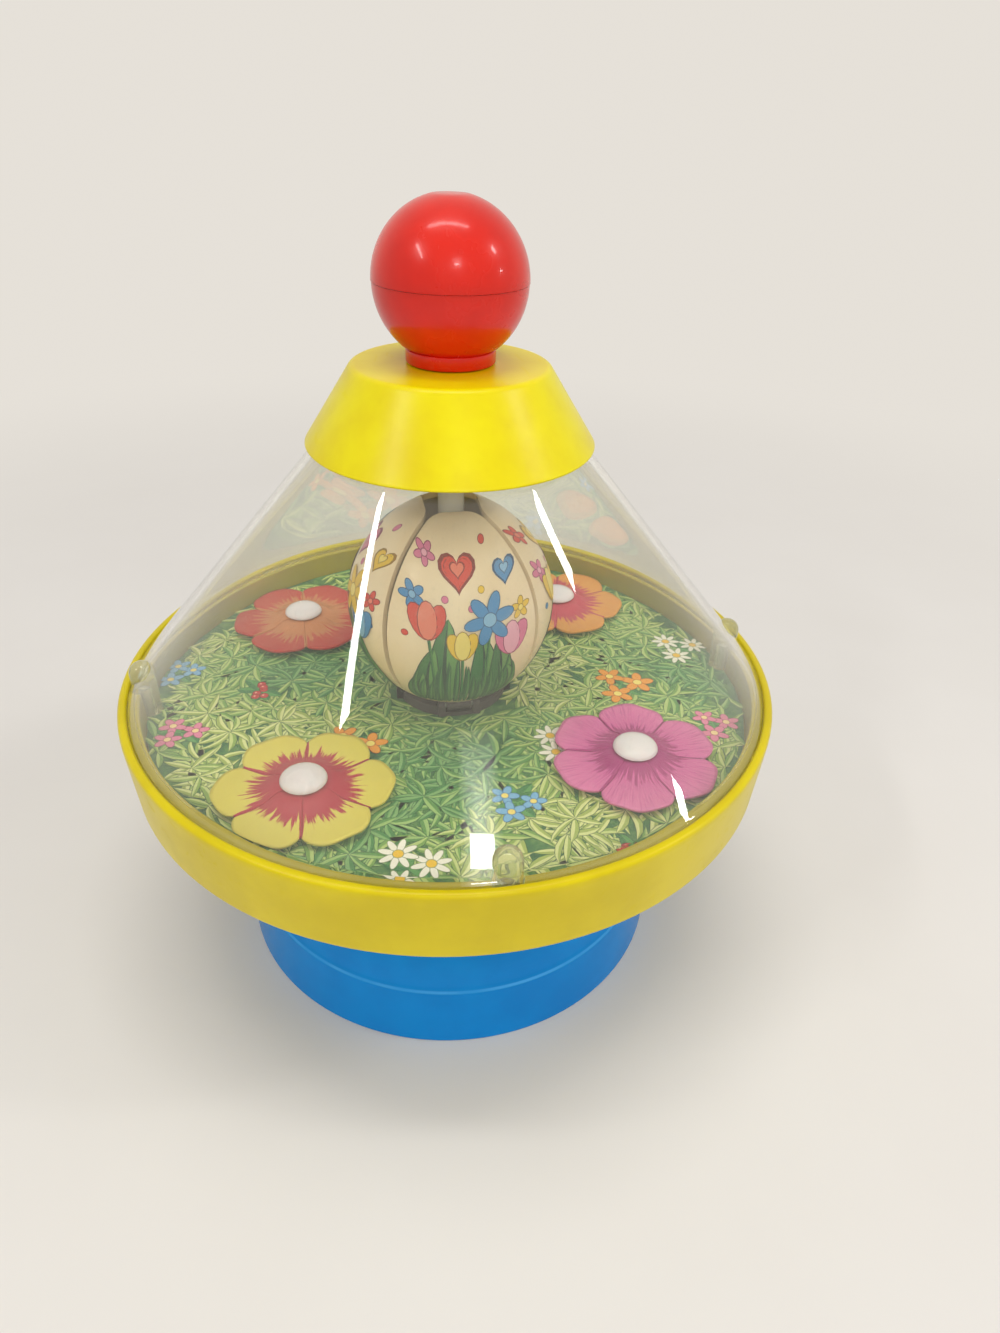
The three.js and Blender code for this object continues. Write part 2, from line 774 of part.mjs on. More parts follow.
function makeKnobLower() {
  const ball = knobRadius - knobSeamStep;
  const seam = knobCentre - fitGap / 2;
  const innerRadius = ball - knobWall;
  const neckAngle = Math.asin((knobNeck - knobCentre) / ball);
  const neckRadius = ball * Math.cos(neckAngle);
  const seamAngle = Math.asin((seam - knobCentre) / ball);
  const grooveTop = knobNeck;
  const grooveBottom = knobNeck - knobGrooveHeight;
  const stemRadius = Math.hypot(rodWidth, rodThickness) / 2 + fitGap + knobStemWall;
  const floor = knobNeck + knobWall;
  const lipOuter = innerRadius - fitGap;
  const lipInner = lipOuter - knobLipWall;
  const floorAngle = Math.asin((floor - knobCentre) / lipInner);
  const outside = arc(ball, knobCentre, neckAngle, seamAngle, knobArcSteps);
  const lipFoot = seam - knobLipHeight;
  const lipAngle = Math.asin((lipFoot - knobCentre) / lipInner);
  const inside = arc(lipInner, knobCentre, lipAngle, floorAngle, knobArcSteps - 1);
  const profile = [
    [0, knobBottom],
    [knobFlangeRadius - knobFlangeEdge, knobBottom],
    [knobFlangeRadius, knobBottom + knobFlangeEdge],
    [knobFlangeRadius, grooveBottom],
    [neckRadius - knobGrooveDepth, grooveBottom + knobFlangeEdge],
    ...outside.filter(([, z]) => z > grooveTop + knobFlangeEdge),
    [lipOuter, seam],
    [lipOuter, seam + knobLipHeight],
    [lipInner, seam + knobLipHeight],
    ...inside,
    [stemRadius, floor],
    [stemRadius, knobNeck + knobStemHeight],
    [0, knobNeck + knobStemHeight],
  ];
  const socketRadius = Math.hypot(rodWidth, rodThickness) / 2 + fitGap;
  const socket = drum(socketRadius, knobBottom - overrun, rodTop() + fitGap, pinFacets);
  return without(turned(profile, capFacets), socket);
}

function rodTop() {
  return knobNeck + rodEmbed;
}

addMesh("knob_lower", makeKnobLower(), 0xd8281c, 0.2);
addMesh("knob_upper", makeKnobUpper(), 0xd8281c, 0.2);

// Twisted rod, its guide and the drive nut

// A flat strip twisted about Z. A point at height z is turned by the angle that the lead gives at z.
function twistedStrip(width, thickness, bottom, top, stepsPerTurn) {
  const steps = Math.ceil(((top - bottom) / rodLead) * stepsPerTurn);
  const outline = [
    [-width / 2, -thickness / 2],
    [0, -thickness / 2],
    [width / 2, -thickness / 2],
    [width / 2, thickness / 2],
    [0, thickness / 2],
    [-width / 2, thickness / 2],
  ];
  const rings = [];
  for (let i = 0; i <= steps; i++) {
    const z = bottom + ((top - bottom) * i) / steps;
    const angle = (2 * Math.PI * z) / rodLead;
    const c = Math.cos(angle);
    const s = Math.sin(angle);
    rings.push(outline.map(([x, y]) => [c * x - s * y, s * x + c * y, z]));
  }
  return skinned(rings);
}

function stripCutter(bottom, top) {
  return twistedStrip(rodWidth + 2 * rodSlack, rodThickness + 2 * rodSlack, bottom, top, rodStepsPerTurn);
}

const rodBottom = guideRest + (guideLength - guideSide) / 2;
addMesh(
  "twisted_rod",
  twistedStrip(rodWidth, rodThickness, rodBottom, rodTop(), rodStepsPerTurn),
  0xb4b7bb,
  0.3,
  0.95,
);

function makeRodGuide() {
  const body = block(guideSide, guideSide, guideRest, guideRest + guideLength);
  return without(body, stripCutter(rodBottom - runGap, guideRest + guideLength + overrun));
}

addMesh("rod_guide", makeRodGuide(), 0x3b3d42, 0.5);

// A flat ring whose upper face carries saw teeth, from the base up to the tips.
function sawRing(inner, outer, base, root, tip) {
  const rings = [];
  const pitch = (2 * Math.PI) / toothCount;
  for (let i = 0; i < toothCount; i++) {
    const start = i * pitch;
    const rise = start + pitch * (1 - toothSteepShare);
    const stops = [[start, root], [(start + rise) / 2, (root + tip) / 2], [rise, tip]];
    for (const [angle, height] of stops) {
      const c = Math.cos(angle);
      const s = Math.sin(angle);
      rings.push([
        [inner * c, inner * s, base],
        [outer * c, outer * s, base],
        [outer * c, outer * s, height],
        [inner * c, inner * s, height],
      ]);
    }
  }
  const positions = [];
  const count = rings.length;
  for (let i = 0; i < count; i++) {
    const here = rings[i];
    const next = rings[(i + 1) % count];
    for (let j = 0; j < here.length; j++) {
      const k = (j + 1) % here.length;
      positions.push(...here[j], ...next[j], ...next[k]);
      positions.push(...here[j], ...next[k], ...here[k]);
    }
  }
  const geometry = new THREE.BufferGeometry();
  geometry.setAttribute("position", new THREE.Float32BufferAttribute(positions, 3));
  return solid(geometry);
}

function makeClutchRing() {
  const bandInner = nutRadius - toothBandWidth;
  const teeth = sawRing(bandInner, nutRadius, clutchBottom, clutchTop, clutchTop + toothHeight);
  const plateOuter = bandInner + toothBandWidth / 2;
  const plateRing = ring(nutBore, plateOuter, clutchBottom, clutchTop - fitGap, smallFacets);
  return fused(plateRing, teeth);
}

addMesh("clutch_ring", makeClutchRing(), 0x4a4c50, 0.5);

function makeDriveNut() {
  const bandInner = nutRadius - toothBandWidth;
  const stem = drum(nutStemRadius, nutBottom, nutFlangeTop, smallFacets);
  const flangeOuter = bandInner + toothBandWidth / 2;
  const flange = drum(flangeOuter, nutFlangeBottom + fitGap, nutFlangeTop, smallFacets);
  const upright = sawRing(bandInner, nutRadius, 0, nutFlange, nutFlange + toothHeight);
  const hanging = upright.rotate([180, 0, 0]).translate([0, 0, nutFlangeTop]);
  const slot = stripCutter(nutBottom - runGap, nutFlangeTop + runGap);
  return without(fused(stem, flange, hanging), slot);
}

addMesh("drive_nut", makeDriveNut(), 0x55575c, 0.45);

// Guide tube

function makeTube() {
  return ring(tubeBore, tubeRadius, capRoofTop + fitGap, tubeTop, smallFacets);
}

addMesh("guide_tube", makeTube(), 0xe8ece6, 0.1);

// Egg carrier: a ring with hinge ears on a long hub

function rounded(radius, centreX, centreY, footY) {
  const outline = new THREE.Shape();
  outline.moveTo(centreX - radius, footY);
  outline.lineTo(centreX + radius, footY);
  outline.lineTo(centreX + radius, centreY);
  outline.absarc(centreX, centreY, radius, 0, Math.PI, false);
  return outline;
}

function makeCarrier() {
  const plateBottomZ = discTop + fitGap;
  const plateTopZ = plateBottomZ + carrierPlate;
  const stepRadius = ringInnerRadius - fitGap;
  const body = turned(
    [
      [carrierBore, hubBottom],
      [carrierRadius, hubBottom],
      [carrierRadius, plateTop + fitGap],
      [stepRadius, plateTop + fitGap],
      [stepRadius, plateBottomZ],
      [ringRadius, plateBottomZ],
      [ringRadius, plateBottomZ + carrierRimHeight],
      [ringInnerRadius, plateBottomZ + carrierRimHeight],
      [ringInnerRadius, plateTopZ],
      [carrierRadius, plateTopZ],
      [carrierRadius, carrierTop],
      [carrierBore, carrierTop],
      [carrierBore, hubBottom],
    ],
    capFacets,
  );
  const earRadius = hingePinRadius + runGap + earWall;
  const earOffset = knuckleHalfLength + 2 * runGap + earThickness / 2;
  const earOutline = rounded(earRadius, hingeRadius, hingeZ, plateTopZ - carrierPlate / 2);
  const ear = sideExtrusion(earOutline, earThickness / 2);
  const earPair = fused(moved(ear, earOffset, 0), moved(ear, -earOffset, 0));
  const notchWidth = 2 * (knuckleHalfLength + runGap);
  const notchShape = block(notchWidth, 2 * ringWall, plateTopZ, hingeZ + overrun);
  const notch = moved(notchShape, 0, -hingeRadius);
  const boreOutline = new THREE.Shape().absarc(hingeRadius, hingeZ, hingePinRadius + runGap, 0, 2 * Math.PI, false);
  const pinBore = sideExtrusion(boreOutline, earOffset + earThickness);
  const spread = (shape) => Array.from({ length: petalCount }, (_, i) => placed(shape, i, petalCount));
  return without(fused(body, ...spread(earPair)), ...spread(notch), ...spread(pinBore));
}

addMesh("egg_carrier", makeCarrier(), 0x5a5350, 0.55);

// Egg petals and their pins

const eggFoot = hingeZ + eggFootRise;
const eggWide = hingeZ + eggWideRise;
const eggTop = hingeZ + eggTopRise;

// An egg's outline from one radius below its widest place to one above it, inset by a wall. It is an ellipse below
// and slightly sharper above, and with no inset it passes through the egg's foot and top.
function eggOutline(inset, firstRadius, lastRadius) {
  const wide = eggRadius - inset;
  const lower = (eggWide - eggFoot) / Math.sqrt(1 - (hingeRadius / eggRadius) ** 2) - inset;
  const upper = (eggTop - eggWide) / Math.sqrt(1 - (eggTopRadius / eggRadius) ** (1 / eggTopPower)) - inset;
  const first = eggWide - lower * Math.sqrt(1 - (firstRadius / wide) ** 2);
  const last = eggWide + upper * Math.sqrt(1 - (lastRadius / wide) ** (1 / eggTopPower));
  const points = [];
  for (let i = 0; i <= eggSteps; i++) {
    const share = (1 - Math.cos((i / eggSteps) * Math.PI)) / 2;
    const z = first + (last - first) * share;
    const radius =
      z < eggWide
        ? wide * Math.sqrt(1 - ((eggWide - z) / lower) ** 2)
        : wide * (1 - ((z - eggWide) / upper) ** 2) ** eggTopPower;
    points.push([radius, z]);
  }
  return points;
}

function eggBody(outline) {
  const [first, last] = [outline[0], outline[outline.length - 1]];
  return turned([[0, first[1]], ...outline, [0, last[1]]], capFacets);
}

function makeEggShell() {
  const outside = eggBody(eggOutline(0, hingeRadius, eggTopRadius));
  const inside = eggBody(eggOutline(eggWall, sleeveFlangeRadius, eggMouthRadius));
  const core = drum(sleeveFlangeRadius + 2 * runGap, eggFoot - overrun, eggWide, smallFacets);
  return without(outside, inside, core);
}

// The plan of one petal at -Y: its sides keep half the split from the diagonals, its upper edge runs straight
// beside the egg's mouth, and the corners between them are round.
function petalPlan() {
  const reach = 2 * eggRadius;
  const tip = eggSplit / Math.SQRT2;
  const corner = eggMouthRadius - tip;
  const slant = eggCornerReach / Math.SQRT2;
  const outline = new THREE.Shape();
  outline.moveTo(eggCornerReach - corner, -eggMouthRadius);
  outline.quadraticCurveTo(-corner, -eggMouthRadius, -corner - slant, -eggMouthRadius - slant);
  outline.lineTo(-reach, -tip - reach);
  outline.lineTo(reach, -tip - reach);
  outline.lineTo(corner + slant, -eggMouthRadius - slant);
  outline.quadraticCurveTo(corner, -eggMouthRadius, corner - eggCornerReach, -eggMouthRadius);
  return plate(outline, eggFoot - overrun, eggTop + overrun, cornerSegments);
}

function makePetal() {
  const earRadius = hingePinRadius + runGap + earWall;
  const pocketTop = hingeZ + earRadius + 2 * runGap;
  const earInner = knuckleHalfLength + runGap;
  const earOuter = knuckleHalfLength + 3 * runGap + earThickness;
  const pocketShape = block(earOuter - earInner, 4 * ringWall, eggFoot - overrun, pocketTop);
  const pocketX = (earOuter + earInner) / 2;
  const pockets = [pocketX, -pocketX].map((x) => moved(pocketShape, x, -hingeRadius));
  const wall = makeEggShell().intersect(petalPlan());
  const knuckleRadius = hingePinRadius + runGap + knuckleWall;
  const knuckleOutline = new THREE.Shape().absarc(hingeRadius, hingeZ, knuckleRadius, 0, 2 * Math.PI, false);
  const knuckle = sideExtrusion(knuckleOutline, knuckleHalfLength);
  const toeShape = new THREE.Shape();
  toeShape.moveTo(0, -toeRadius);
  toeShape.lineTo(toeLength, -toeRadius);
  toeShape.absarc(toeLength, 0, toeRadius, -Math.PI / 2, Math.PI / 2, false);
  toeShape.lineTo(0, toeRadius);
  const turnIn = (point) => {
    const c = Math.cos(toeDrop);
    const s = Math.sin(toeDrop);
    return new THREE.Vector2(hingeRadius - point.x * c - point.y * s, hingeZ - point.x * s + point.y * c);
  };
  const toeOutline = new THREE.Shape(toeShape.getPoints(cornerSegments).map(turnIn));
  const toe = sideExtrusion(toeOutline, toeHalfWidth);
  const boreOutline = new THREE.Shape().absarc(hingeRadius, hingeZ, hingePinRadius + runGap, 0, 2 * Math.PI, false);
  const bore = sideExtrusion(boreOutline, 2 * knuckleHalfLength);
  return without(fused(without(wall, ...pockets), knuckle, toe), bore);
}

function makeHingePin() {
  const outline = new THREE.Shape().absarc(hingeRadius, hingeZ, hingePinRadius, 0, 2 * Math.PI, false);
  return sideExtrusion(outline, knuckleHalfLength + 2 * runGap + earThickness);
}

for (let i = 0; i < petalCount; i++) {
  addMesh(`egg_petal_${i + 1}`, placed(makePetal(), i, petalCount), 0xe9e0c6, 0.4);
  addMesh(`petal_pin_${i + 1}`, placed(makeHingePin(), i, petalCount), 0xb9bcc0, 0.3, 0.95);
}

// Sleeve, spring and cap

function makeSleeve() {
  const barrelRadius = sleeveBore + sleeveBarrelWall;
  return turned(
    [
      [sleeveBore, sleeveBottom],
      [sleeveFlangeRadius, sleeveBottom],
      [sleeveFlangeRadius, sleeveBottom + sleeveFlangeHeight],
      [barrelRadius, sleeveBottom + sleeveFlangeHeight],
      [barrelRadius, sleeveTop],
      [sleeveBore, sleeveTop],
      [sleeveBore, sleeveBottom],
    ],
    capFacets / 2,
  );
}

addMesh("closing_sleeve", makeSleeve(), 0xc9c4b8, 0.45);

function makeSpring() {
  const meanRadius = sleeveBore + wireRadius + fitGap / 2;
  const bottom = sleeveTop + fitGap + wireRadius;
  const top = capBottom - fitGap - wireRadius;
  const steps = springTurns * springStepsPerTurn;
  const rings = [];
  for (let i = 0; i <= steps; i++) {
    const angle = (i / springStepsPerTurn) * 2 * Math.PI;
    const height = bottom + ((top - bottom) * i) / steps;
    const around = [];
    for (let j = 0; j < springSides; j++) {
      const turn = (j / springSides) * 2 * Math.PI;
      const radius = meanRadius + wireRadius * Math.cos(turn);
      around.push([radius * Math.cos(angle), radius * Math.sin(angle), height - wireRadius * Math.sin(turn)]);
    }
    rings.push(around);
  }
  return skinned(rings);
}

addMesh("closing_spring", makeSpring(), 0xaeb1b5, 0.3, 0.95);

function makeCap() {
  const capRadius = hubBore + capWall;
  const socketRadius = tubeSeatBore + capSocketWall;
  const rodHole = Math.hypot(rodWidth, rodThickness) / 2 + 2 * runGap;
  const socketTop = capRoofTop + capSocketHeight;
  return turned(
    [
      [rodHole, capRoofBottom],
      [hubBore, capRoofBottom],
      [hubBore, capBottom],
      [capRadius, capBottom],
      [capRadius, capRoofTop],
      [socketRadius, capRoofTop],
      [socketRadius, socketTop],
      [tubeSeatBore, socketTop],
      [tubeSeatBore, capRoofTop],
      [rodHole, capRoofTop],
      [rodHole, capRoofBottom],
    ],
    capFacets / 2,
  );
}

addMesh("hub_cap", makeCap(), 0x5a5350, 0.55);

// Flowers and their pins

const flowerSeatTop = discTop + flowerSeatRise;
const flowerBottom = flowerSeatTop + runGap;
const flowerHubTop = flowerBottom + flowerHubThickness;

// One rounded petal of a flower, tilted about its length so that it lies over one neighbour and under the other.
function makeFlowerPetal() {
  const outline = new THREE.Shape();
  outline.absellipse(0, 0, flowerPetalWidth / 2, flowerPetalLength / 2, 0, 2 * Math.PI, false, 0);
  const geometry = new THREE.ExtrudeGeometry(outline, {
    depth: flowerPetalThickness,
    bevelEnabled: false,
    curveSegments: arcSegments,
  });
  geometry.rotateY(flowerTilt);
  const middle = flowerBottom + (flowerHubThickness - flowerPetalThickness) / 2;
  geometry.translate(0, -(flowerRadius - flowerPetalLength / 2), middle);
  return solid(geometry);
}

function makeFlower(turnShare) {
  const hub = drum(flowerHubRadius, flowerBottom, flowerHubTop, smallFacets);
  const petal = makeFlowerPetal();
  const turn = placeAngle(turnShare, flowerPetals);
  const petals = Array.from({ length: flowerPetals }, (_, i) => placed(petal, i, flowerPetals, turn));
  const bore = drum(flowerPinRadius + runGap, flowerBottom - overrun, flowerHubTop + overrun, pinFacets);
  return moved(without(fused(hub, ...petals), bore), 0, -flowerCircle);
}

function makeFlowerPin() {
  const headBottom = flowerHubTop + flowerHeadRise;
  const profile = [
    [0, plateTop - flowerPinBelow],
    [flowerPinRadius, plateTop - flowerPinBelow],
    [flowerPinRadius, headBottom],
    [flowerHeadRadius, headBottom],
  ];
  for (let i = 1; i <= buttonDomeSteps; i++) {
    const angle = (i / buttonDomeSteps) * (Math.PI / 2);
    const rise = flowerHeadHeight * Math.sin(angle);
    profile.push([i < buttonDomeSteps ? flowerHeadRadius * Math.cos(angle) : 0, headBottom + rise]);
  }
  return moved(turned(profile, bossFacets), 0, -flowerCircle);
}

const flowerKinds = [
  ["magenta", 0xd8588f],
  ["orange", 0xe8923a],
  ["red", 0xd9473a],
  ["yellow", 0xe9d44a],
];
const flowerTurnShares = [0, 0, -0.22, 0.2]; // how far each stands turned at rest, in petals
flowerKinds.forEach(([kind, color], i) => {
  const offset = Math.PI / flowerCount;
  addMesh(`flower_${kind}`, placed(makeFlower(flowerTurnShares[i]), i, flowerCount, offset), color, 0.45);
  addMesh(`flower_pin_${kind}`, placed(makeFlowerPin(), i, flowerCount, offset), 0xf1efe8, 0.35);
});

export default root;
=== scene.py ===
# Looks of a pump-action spinning top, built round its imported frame.
import random
from bisect import bisect_right
from math import acos, asin, atan2, cos, hypot, pi, radians, sin, sqrt, tan

import bpy
from mathutils import Matrix, Vector


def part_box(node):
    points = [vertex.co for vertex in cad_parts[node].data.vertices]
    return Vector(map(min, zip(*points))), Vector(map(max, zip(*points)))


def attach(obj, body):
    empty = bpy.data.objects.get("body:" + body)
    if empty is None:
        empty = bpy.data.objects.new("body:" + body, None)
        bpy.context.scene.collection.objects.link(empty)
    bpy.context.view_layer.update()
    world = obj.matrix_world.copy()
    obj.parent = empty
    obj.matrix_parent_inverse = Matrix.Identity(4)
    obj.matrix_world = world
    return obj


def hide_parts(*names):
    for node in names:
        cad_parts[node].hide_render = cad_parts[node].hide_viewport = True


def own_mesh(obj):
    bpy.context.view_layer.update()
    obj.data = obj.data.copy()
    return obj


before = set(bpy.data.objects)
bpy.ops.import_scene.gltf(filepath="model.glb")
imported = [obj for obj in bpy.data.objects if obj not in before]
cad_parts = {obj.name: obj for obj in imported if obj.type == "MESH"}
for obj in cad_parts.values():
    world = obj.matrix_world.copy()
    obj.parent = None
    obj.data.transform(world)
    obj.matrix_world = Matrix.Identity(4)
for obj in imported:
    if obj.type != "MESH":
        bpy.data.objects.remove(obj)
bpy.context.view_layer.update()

# Lengths below are in millimetres and become metres when a mesh is made.
metre_per_mm = 0.001

# Faces round the turned shapes
wide_segments = 160
shell_segments = 128
ball_segments = 112
ring_segments = 96
small_segments = 48
lug_segments = 40
pin_segments = 32
knuckle_segments = 24

# How far the pieces of one moulding run into each other, and a cutter past what it cuts
overlap = 1
overrun = 3

# Heights and radii of the frame that the pieces take over
foot_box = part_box("base_foot")
pan_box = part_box("pan")
cone_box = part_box("clear_cone")
collar_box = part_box("collar")
upper_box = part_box("knob_upper")
lower_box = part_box("knob_lower")
disc_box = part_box("meadow_disc")
petal_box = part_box("egg_petal_1")
tube_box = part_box("guide_tube")
spring_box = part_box("closing_spring")


def low(box, axis=2):
    return box[0][axis] / metre_per_mm


def high(box, axis=2):
    return box[1][axis] / metre_per_mm


# Foot
foot_radius = high(foot_box, 0)
foot_height = high(foot_box)
foot_band_height = 20
foot_band_top_radius = 70
foot_edge = 1.2
foot_rim_edge = 0.6
foot_crown_radius = 14
foot_wall = 2.4
foot_dome_power = 1.6
foot_rib_count = 4
foot_rib_thickness = 2
foot_rib_floor = 34
foot_boss_radius = 10.1
foot_boss_bore = 7.5
foot_boss_bottom = 14

# Pan
pan_radius = high(pan_box, 0)
pan_foot_radius = 100
pan_bottom = low(pan_box)
rim_top = high(pan_box)
hub_bottom = pan_bottom + 0.75
plate_top = hub_bottom + 10.7
plate_thickness = 1.8
pan_wall = 2.4
ledge_top = rim_top - 2.3
ledge_thickness = 1.8
lip_inner_radius = pan_radius - 2.65
pan_inner_radius = lip_inner_radius - 4
upstand_wall = 1.8
hub_bore = 10.674
hub_radius = 13.274
rib_count = 8
rib_thickness = 1.8
rib_depth = 4.2
pillar_radius = 4.8
pillar_bore = 3.3
pillar_depth = 6
seat_radius = 5.2
seat_bore = 2.3
seat_rise = 1.4
pan_cut_rise = 0.02

# Cone
cone_flange_radius = high(cone_box, 0)
cone_bottom = ledge_top + 0.3
cone_flange_height = 1.8
cone_start = cone_bottom + cone_flange_height
cone_top = high(cone_box)
cone_shoulder = 0.3
cone_top_radius = 27.9
cone_slope = (cone_flange_radius - cone_shoulder - cone_top_radius) / (cone_top - cone_start)
cone_wall = 2
cone_hole_radius = 5.8
boss_radius = 3.9
boss_height = 19
boss_circle = cone_flange_radius - boss_radius
boss_gap = 0.3
lug_seam = 0.02
pilot_radius = 1.7
pilot_depth = 9.7
boss_count = 4

# Collar
collar_bottom = low(collar_box)
collar_top = high(collar_box)
collar_bottom_radius = high(collar_box, 0)
collar_top_radius = 26.7
collar_edge = 2.2
collar_wall = 2.4
collar_roof = 2.4
collar_hole_radius = 3.4

# Knob
knob_radius = high(upper_box, 0)
knob_top = high(upper_box)
knob_flat_radius = 4.7
knob_bottom = low(lower_box)
knob_flange_radius = 12
knob_centre = knob_top - sqrt(knob_radius ** 2 - knob_flat_radius ** 2)
knob_wall = 2.4
knob_seam = 0.14
knob_gap = 0.05
knob_bevel = 0.15
knob_flange_chamfer = 0.35
knob_neck_rise = 0.25

# Printed disc and what stands on it
disc_top = high(disc_box)
boss_clearing = 1.4
flower_clearing = 7
hinge_z = disc_top + 4
hinge_radius = 16.208
ring_radius = 17.608
ring_inner_radius = 14.608
ring_gap = 0.3
ring_height = 3.3
ring_notch = (8.2, 7, 3)
ring_notch_floor = 1.4

# Egg
egg_radius = 31.4
egg_foot = hinge_z + 0.6
egg_wide = hinge_z + 29.4
egg_top = high(petal_box)
egg_top_radius = 8.75
egg_mouth_radius = 8
egg_wall = 1.8
egg_foot_inset = 2.2
egg_split = 1.7
petal_edge = 0.35
egg_corner_reach = 2.6
egg_top_power = 0.6
petal_count = 4
egg_layer_step = 0.008

# Hinges of the egg's petals
pin_bore = 1.3
knuckle_radius = 1.72
knuckle_half = 3.8
pocket_size = (3.1, 12, 8)
pocket_beside = 5.65
pocket_drop = 1.3
toe_slope = radians(15)
toe_half = 2.2
toe_start = 1.4
toe_reach = 4.0
toe_radius = 0.7
ear_radius = 2.1
ear_foot = 3.0
ear_half = 1.1
ear_beside = 5.5

# Tube round the rod
tube_bore = 2.9
tube_radius = 3.8

# Spring that closes the egg
spring_wire = 0.5
spring_turns = 3

# Flowers
flower_circle = 67.0
flower_radius = 25
flower_base = disc_top + 1.7
flower_petals = 6
flower_petal_length = 20.5
flower_petal_width = 24
flower_notch = 1.9
flower_turns = {"magenta": 0, "orange": 0, "red": -0.22, "yellow": 0.2}
flower_hub_radius = 7.5
flower_hub_thickness = 2.2
flower_hub_rise = 0.3
flower_bore = 2.4
petal_root = 4
petal_floor = 0.95
petal_crown = 0.5
petal_curl = 0.55
petal_curl_start = 0.55
petal_tilt = 0.12
petal_wave = 0.012
petal_ripple = 0.1
petal_rise = 1.8
petal_rise_foot = 13
petal_rise_run = 5.5
petal_overlap = 1.012
petal_thickness = 0.8
button_radius = 6.5
button_bottom = flower_base + flower_hub_thickness + 1
button_height = 3.2
button_edge = 0.4
button_pin_radius = 2
button_pin_depth = 5.7
flower_kinds = ["magenta", "orange", "red", "yellow"]

# Camera: place, turn and lens were fitted to the photo's frame.
camera_place = (-33.69, -239.73, 249.90)
camera_heading = radians(-8) - 0.0656
camera_pitch = 0.5730
camera_roll = 0.0342
camera_lens = 23.867
sensor_width = 36

# The floor far off, and all that lies behind it
backdrop_color = (0.79, 0.75, 0.69)
floor_half = 12000
floor_fade = (0.24, 0.75)

# Light: lengths in metres, power in watts
lamp_target = Vector((0, 0, 0.13))
lamp_distance = 1.5
world_color = (1.0, 0.98, 0.96)
world_strength = 0.32

# Lamps whose two ends are seen mirrored in the clear cone or the knob: width and power, then for
# each end a place there in millimetres and the direction in which the lamp lies from it
mirrored_lamps = {
    "lamp_left": (
        0.07,
        2.8,
        ((-21.4, -31.9, 167.0), (-0.669, -0.152, 0.727)),
        ((-34.9, -66.3, 123.8), (-0.664, -0.441, 0.604)),
    ),
    "lamp_right": (
        0.1,
        1.6,
        ((15.8, -35.3, 166.7), (0.717, -0.213, 0.664)),
        ((24.1, -48.7, 148.2), (0.793, -0.229, 0.565)),
    ),
    "lamp_low": (
        0.05,
        0.5,
        ((46.5, -78.2, 104.7), (0.915, -0.258, 0.311)),
        ((47.6, -84.7, 97.5), (0.902, -0.315, 0.295)),
    ),
    "lamp_front": (
        0.065,
        0.8,
        ((-8.4, -92.0, 103.0), (-0.022, -0.812, 0.583)),
        ((-2.8, -92.9, 102.4), (0.101, -0.812, 0.574)),
    ),
    "lamp_top": (
        0.12,
        4.5,
        ((-4.0, -8.0, 228.0), (-0.415, 0.014, 0.91)),
        ((3.0, -8.0, 228.0), (0.309, -0.117, 0.944)),
    ),
}

# Weak lamps of growing size round the front one, which together are seen mirrored as a soft glow
glow_sizes = [(0.08, 0.12), (0.13, 0.16), (0.18, 0.2), (0.23, 0.25), (0.28, 0.31), (0.34, 0.38)]
glow_strength = 1.0
glow_shift = 0.05 * Vector((0, 0.58, 0.81))
glow_step = 0.01

# Lamps that aren't mirrored: azimuth and elevation of both ends, distance, width and power
soft_lamps = {
    "lamp_soft": ((-70, 75), (110, 75), 2.2, 1.3, 11.5),
    "lamp_fill": ((-26, 25), (10, 25), 1.8, 0.6, 7.8),
    "lamp_side": ((60, 40), (85, 30), 1.6, 0.5, 3),
}

# How often light may bounce, of each kind and in all
light_bounces = {
    "max_bounces": 14,
    "transmission_bounces": 12,
    "transparent_max_bounces": 12,
    "glossy_bounces": 4,
    "diffuse_bounces": 4,
}

random.seed(7)


# Meshes


def linked(name, data):
    """An object of the scene that shows the data."""
    made = bpy.data.objects.new(name, data)
    bpy.context.scene.collection.objects.link(made)
    return made


def make_object(name, points, faces, colors=None):
    """A mesh object from points in millimetres. colors gives one colour for each face."""
    mesh = bpy.data.meshes.new(name)
    scaled = [(x * metre_per_mm, y * metre_per_mm, z * metre_per_mm) for x, y, z in points]
    mesh.from_pydata(scaled, [], faces)
    mesh.update()
    if colors is not None:
        tint = mesh.color_attributes.new("tint", "FLOAT_COLOR", "CORNER")
        flat = []
        for face, color in zip(faces, colors):
            flat.extend([*color, 1.0] * len(face))
        tint.data.foreach_set("color", flat)
    return linked(name, mesh)


def smooth(piece, angle=35):
    for polygon in piece.data.polygons:
        polygon.use_smooth = True
    piece.data.set_sharp_from_angle(angle=radians(angle))
    return piece


def fillet(corners, steps=5):
    """Rounds the corners of a closed outline. Each corner is (r, z, radius)."""
    rounded = []
    count = len(corners)
    for i, (r, z, radius) in enumerate(corners):
        here = Vector((r, z))
        back = Vector(corners[i - 1][:2]) - here
        ahead = Vector(corners[(i + 1) % count][:2]) - here
        if radius <= 0 or back.length < 1e-6 or ahead.length < 1e-6:
            rounded.append((r, z))
            continue
        back.normalize()
        ahead.normalize()
        half = acos(max(-1, min(1, back.dot(ahead)))) / 2
        if half > radians(87):
            rounded.append((r, z))
            continue
        reach = radius / tan(half)
        middle = here + (back + ahead).normalized() * (radius / sin(half))
        start = here + back * reach - middle
        end = here + ahead * reach - middle
        from_angle = atan2(start.y, start.x)
        sweep = atan2(end.y, end.x) - from_angle
        sweep = (sweep + pi) % (2 * pi) - pi
        for step in range(steps + 1):
            angle = from_angle + sweep * step / steps
            rounded.append((middle.x + radius * cos(angle), middle.y + radius * sin(angle)))
    return rounded


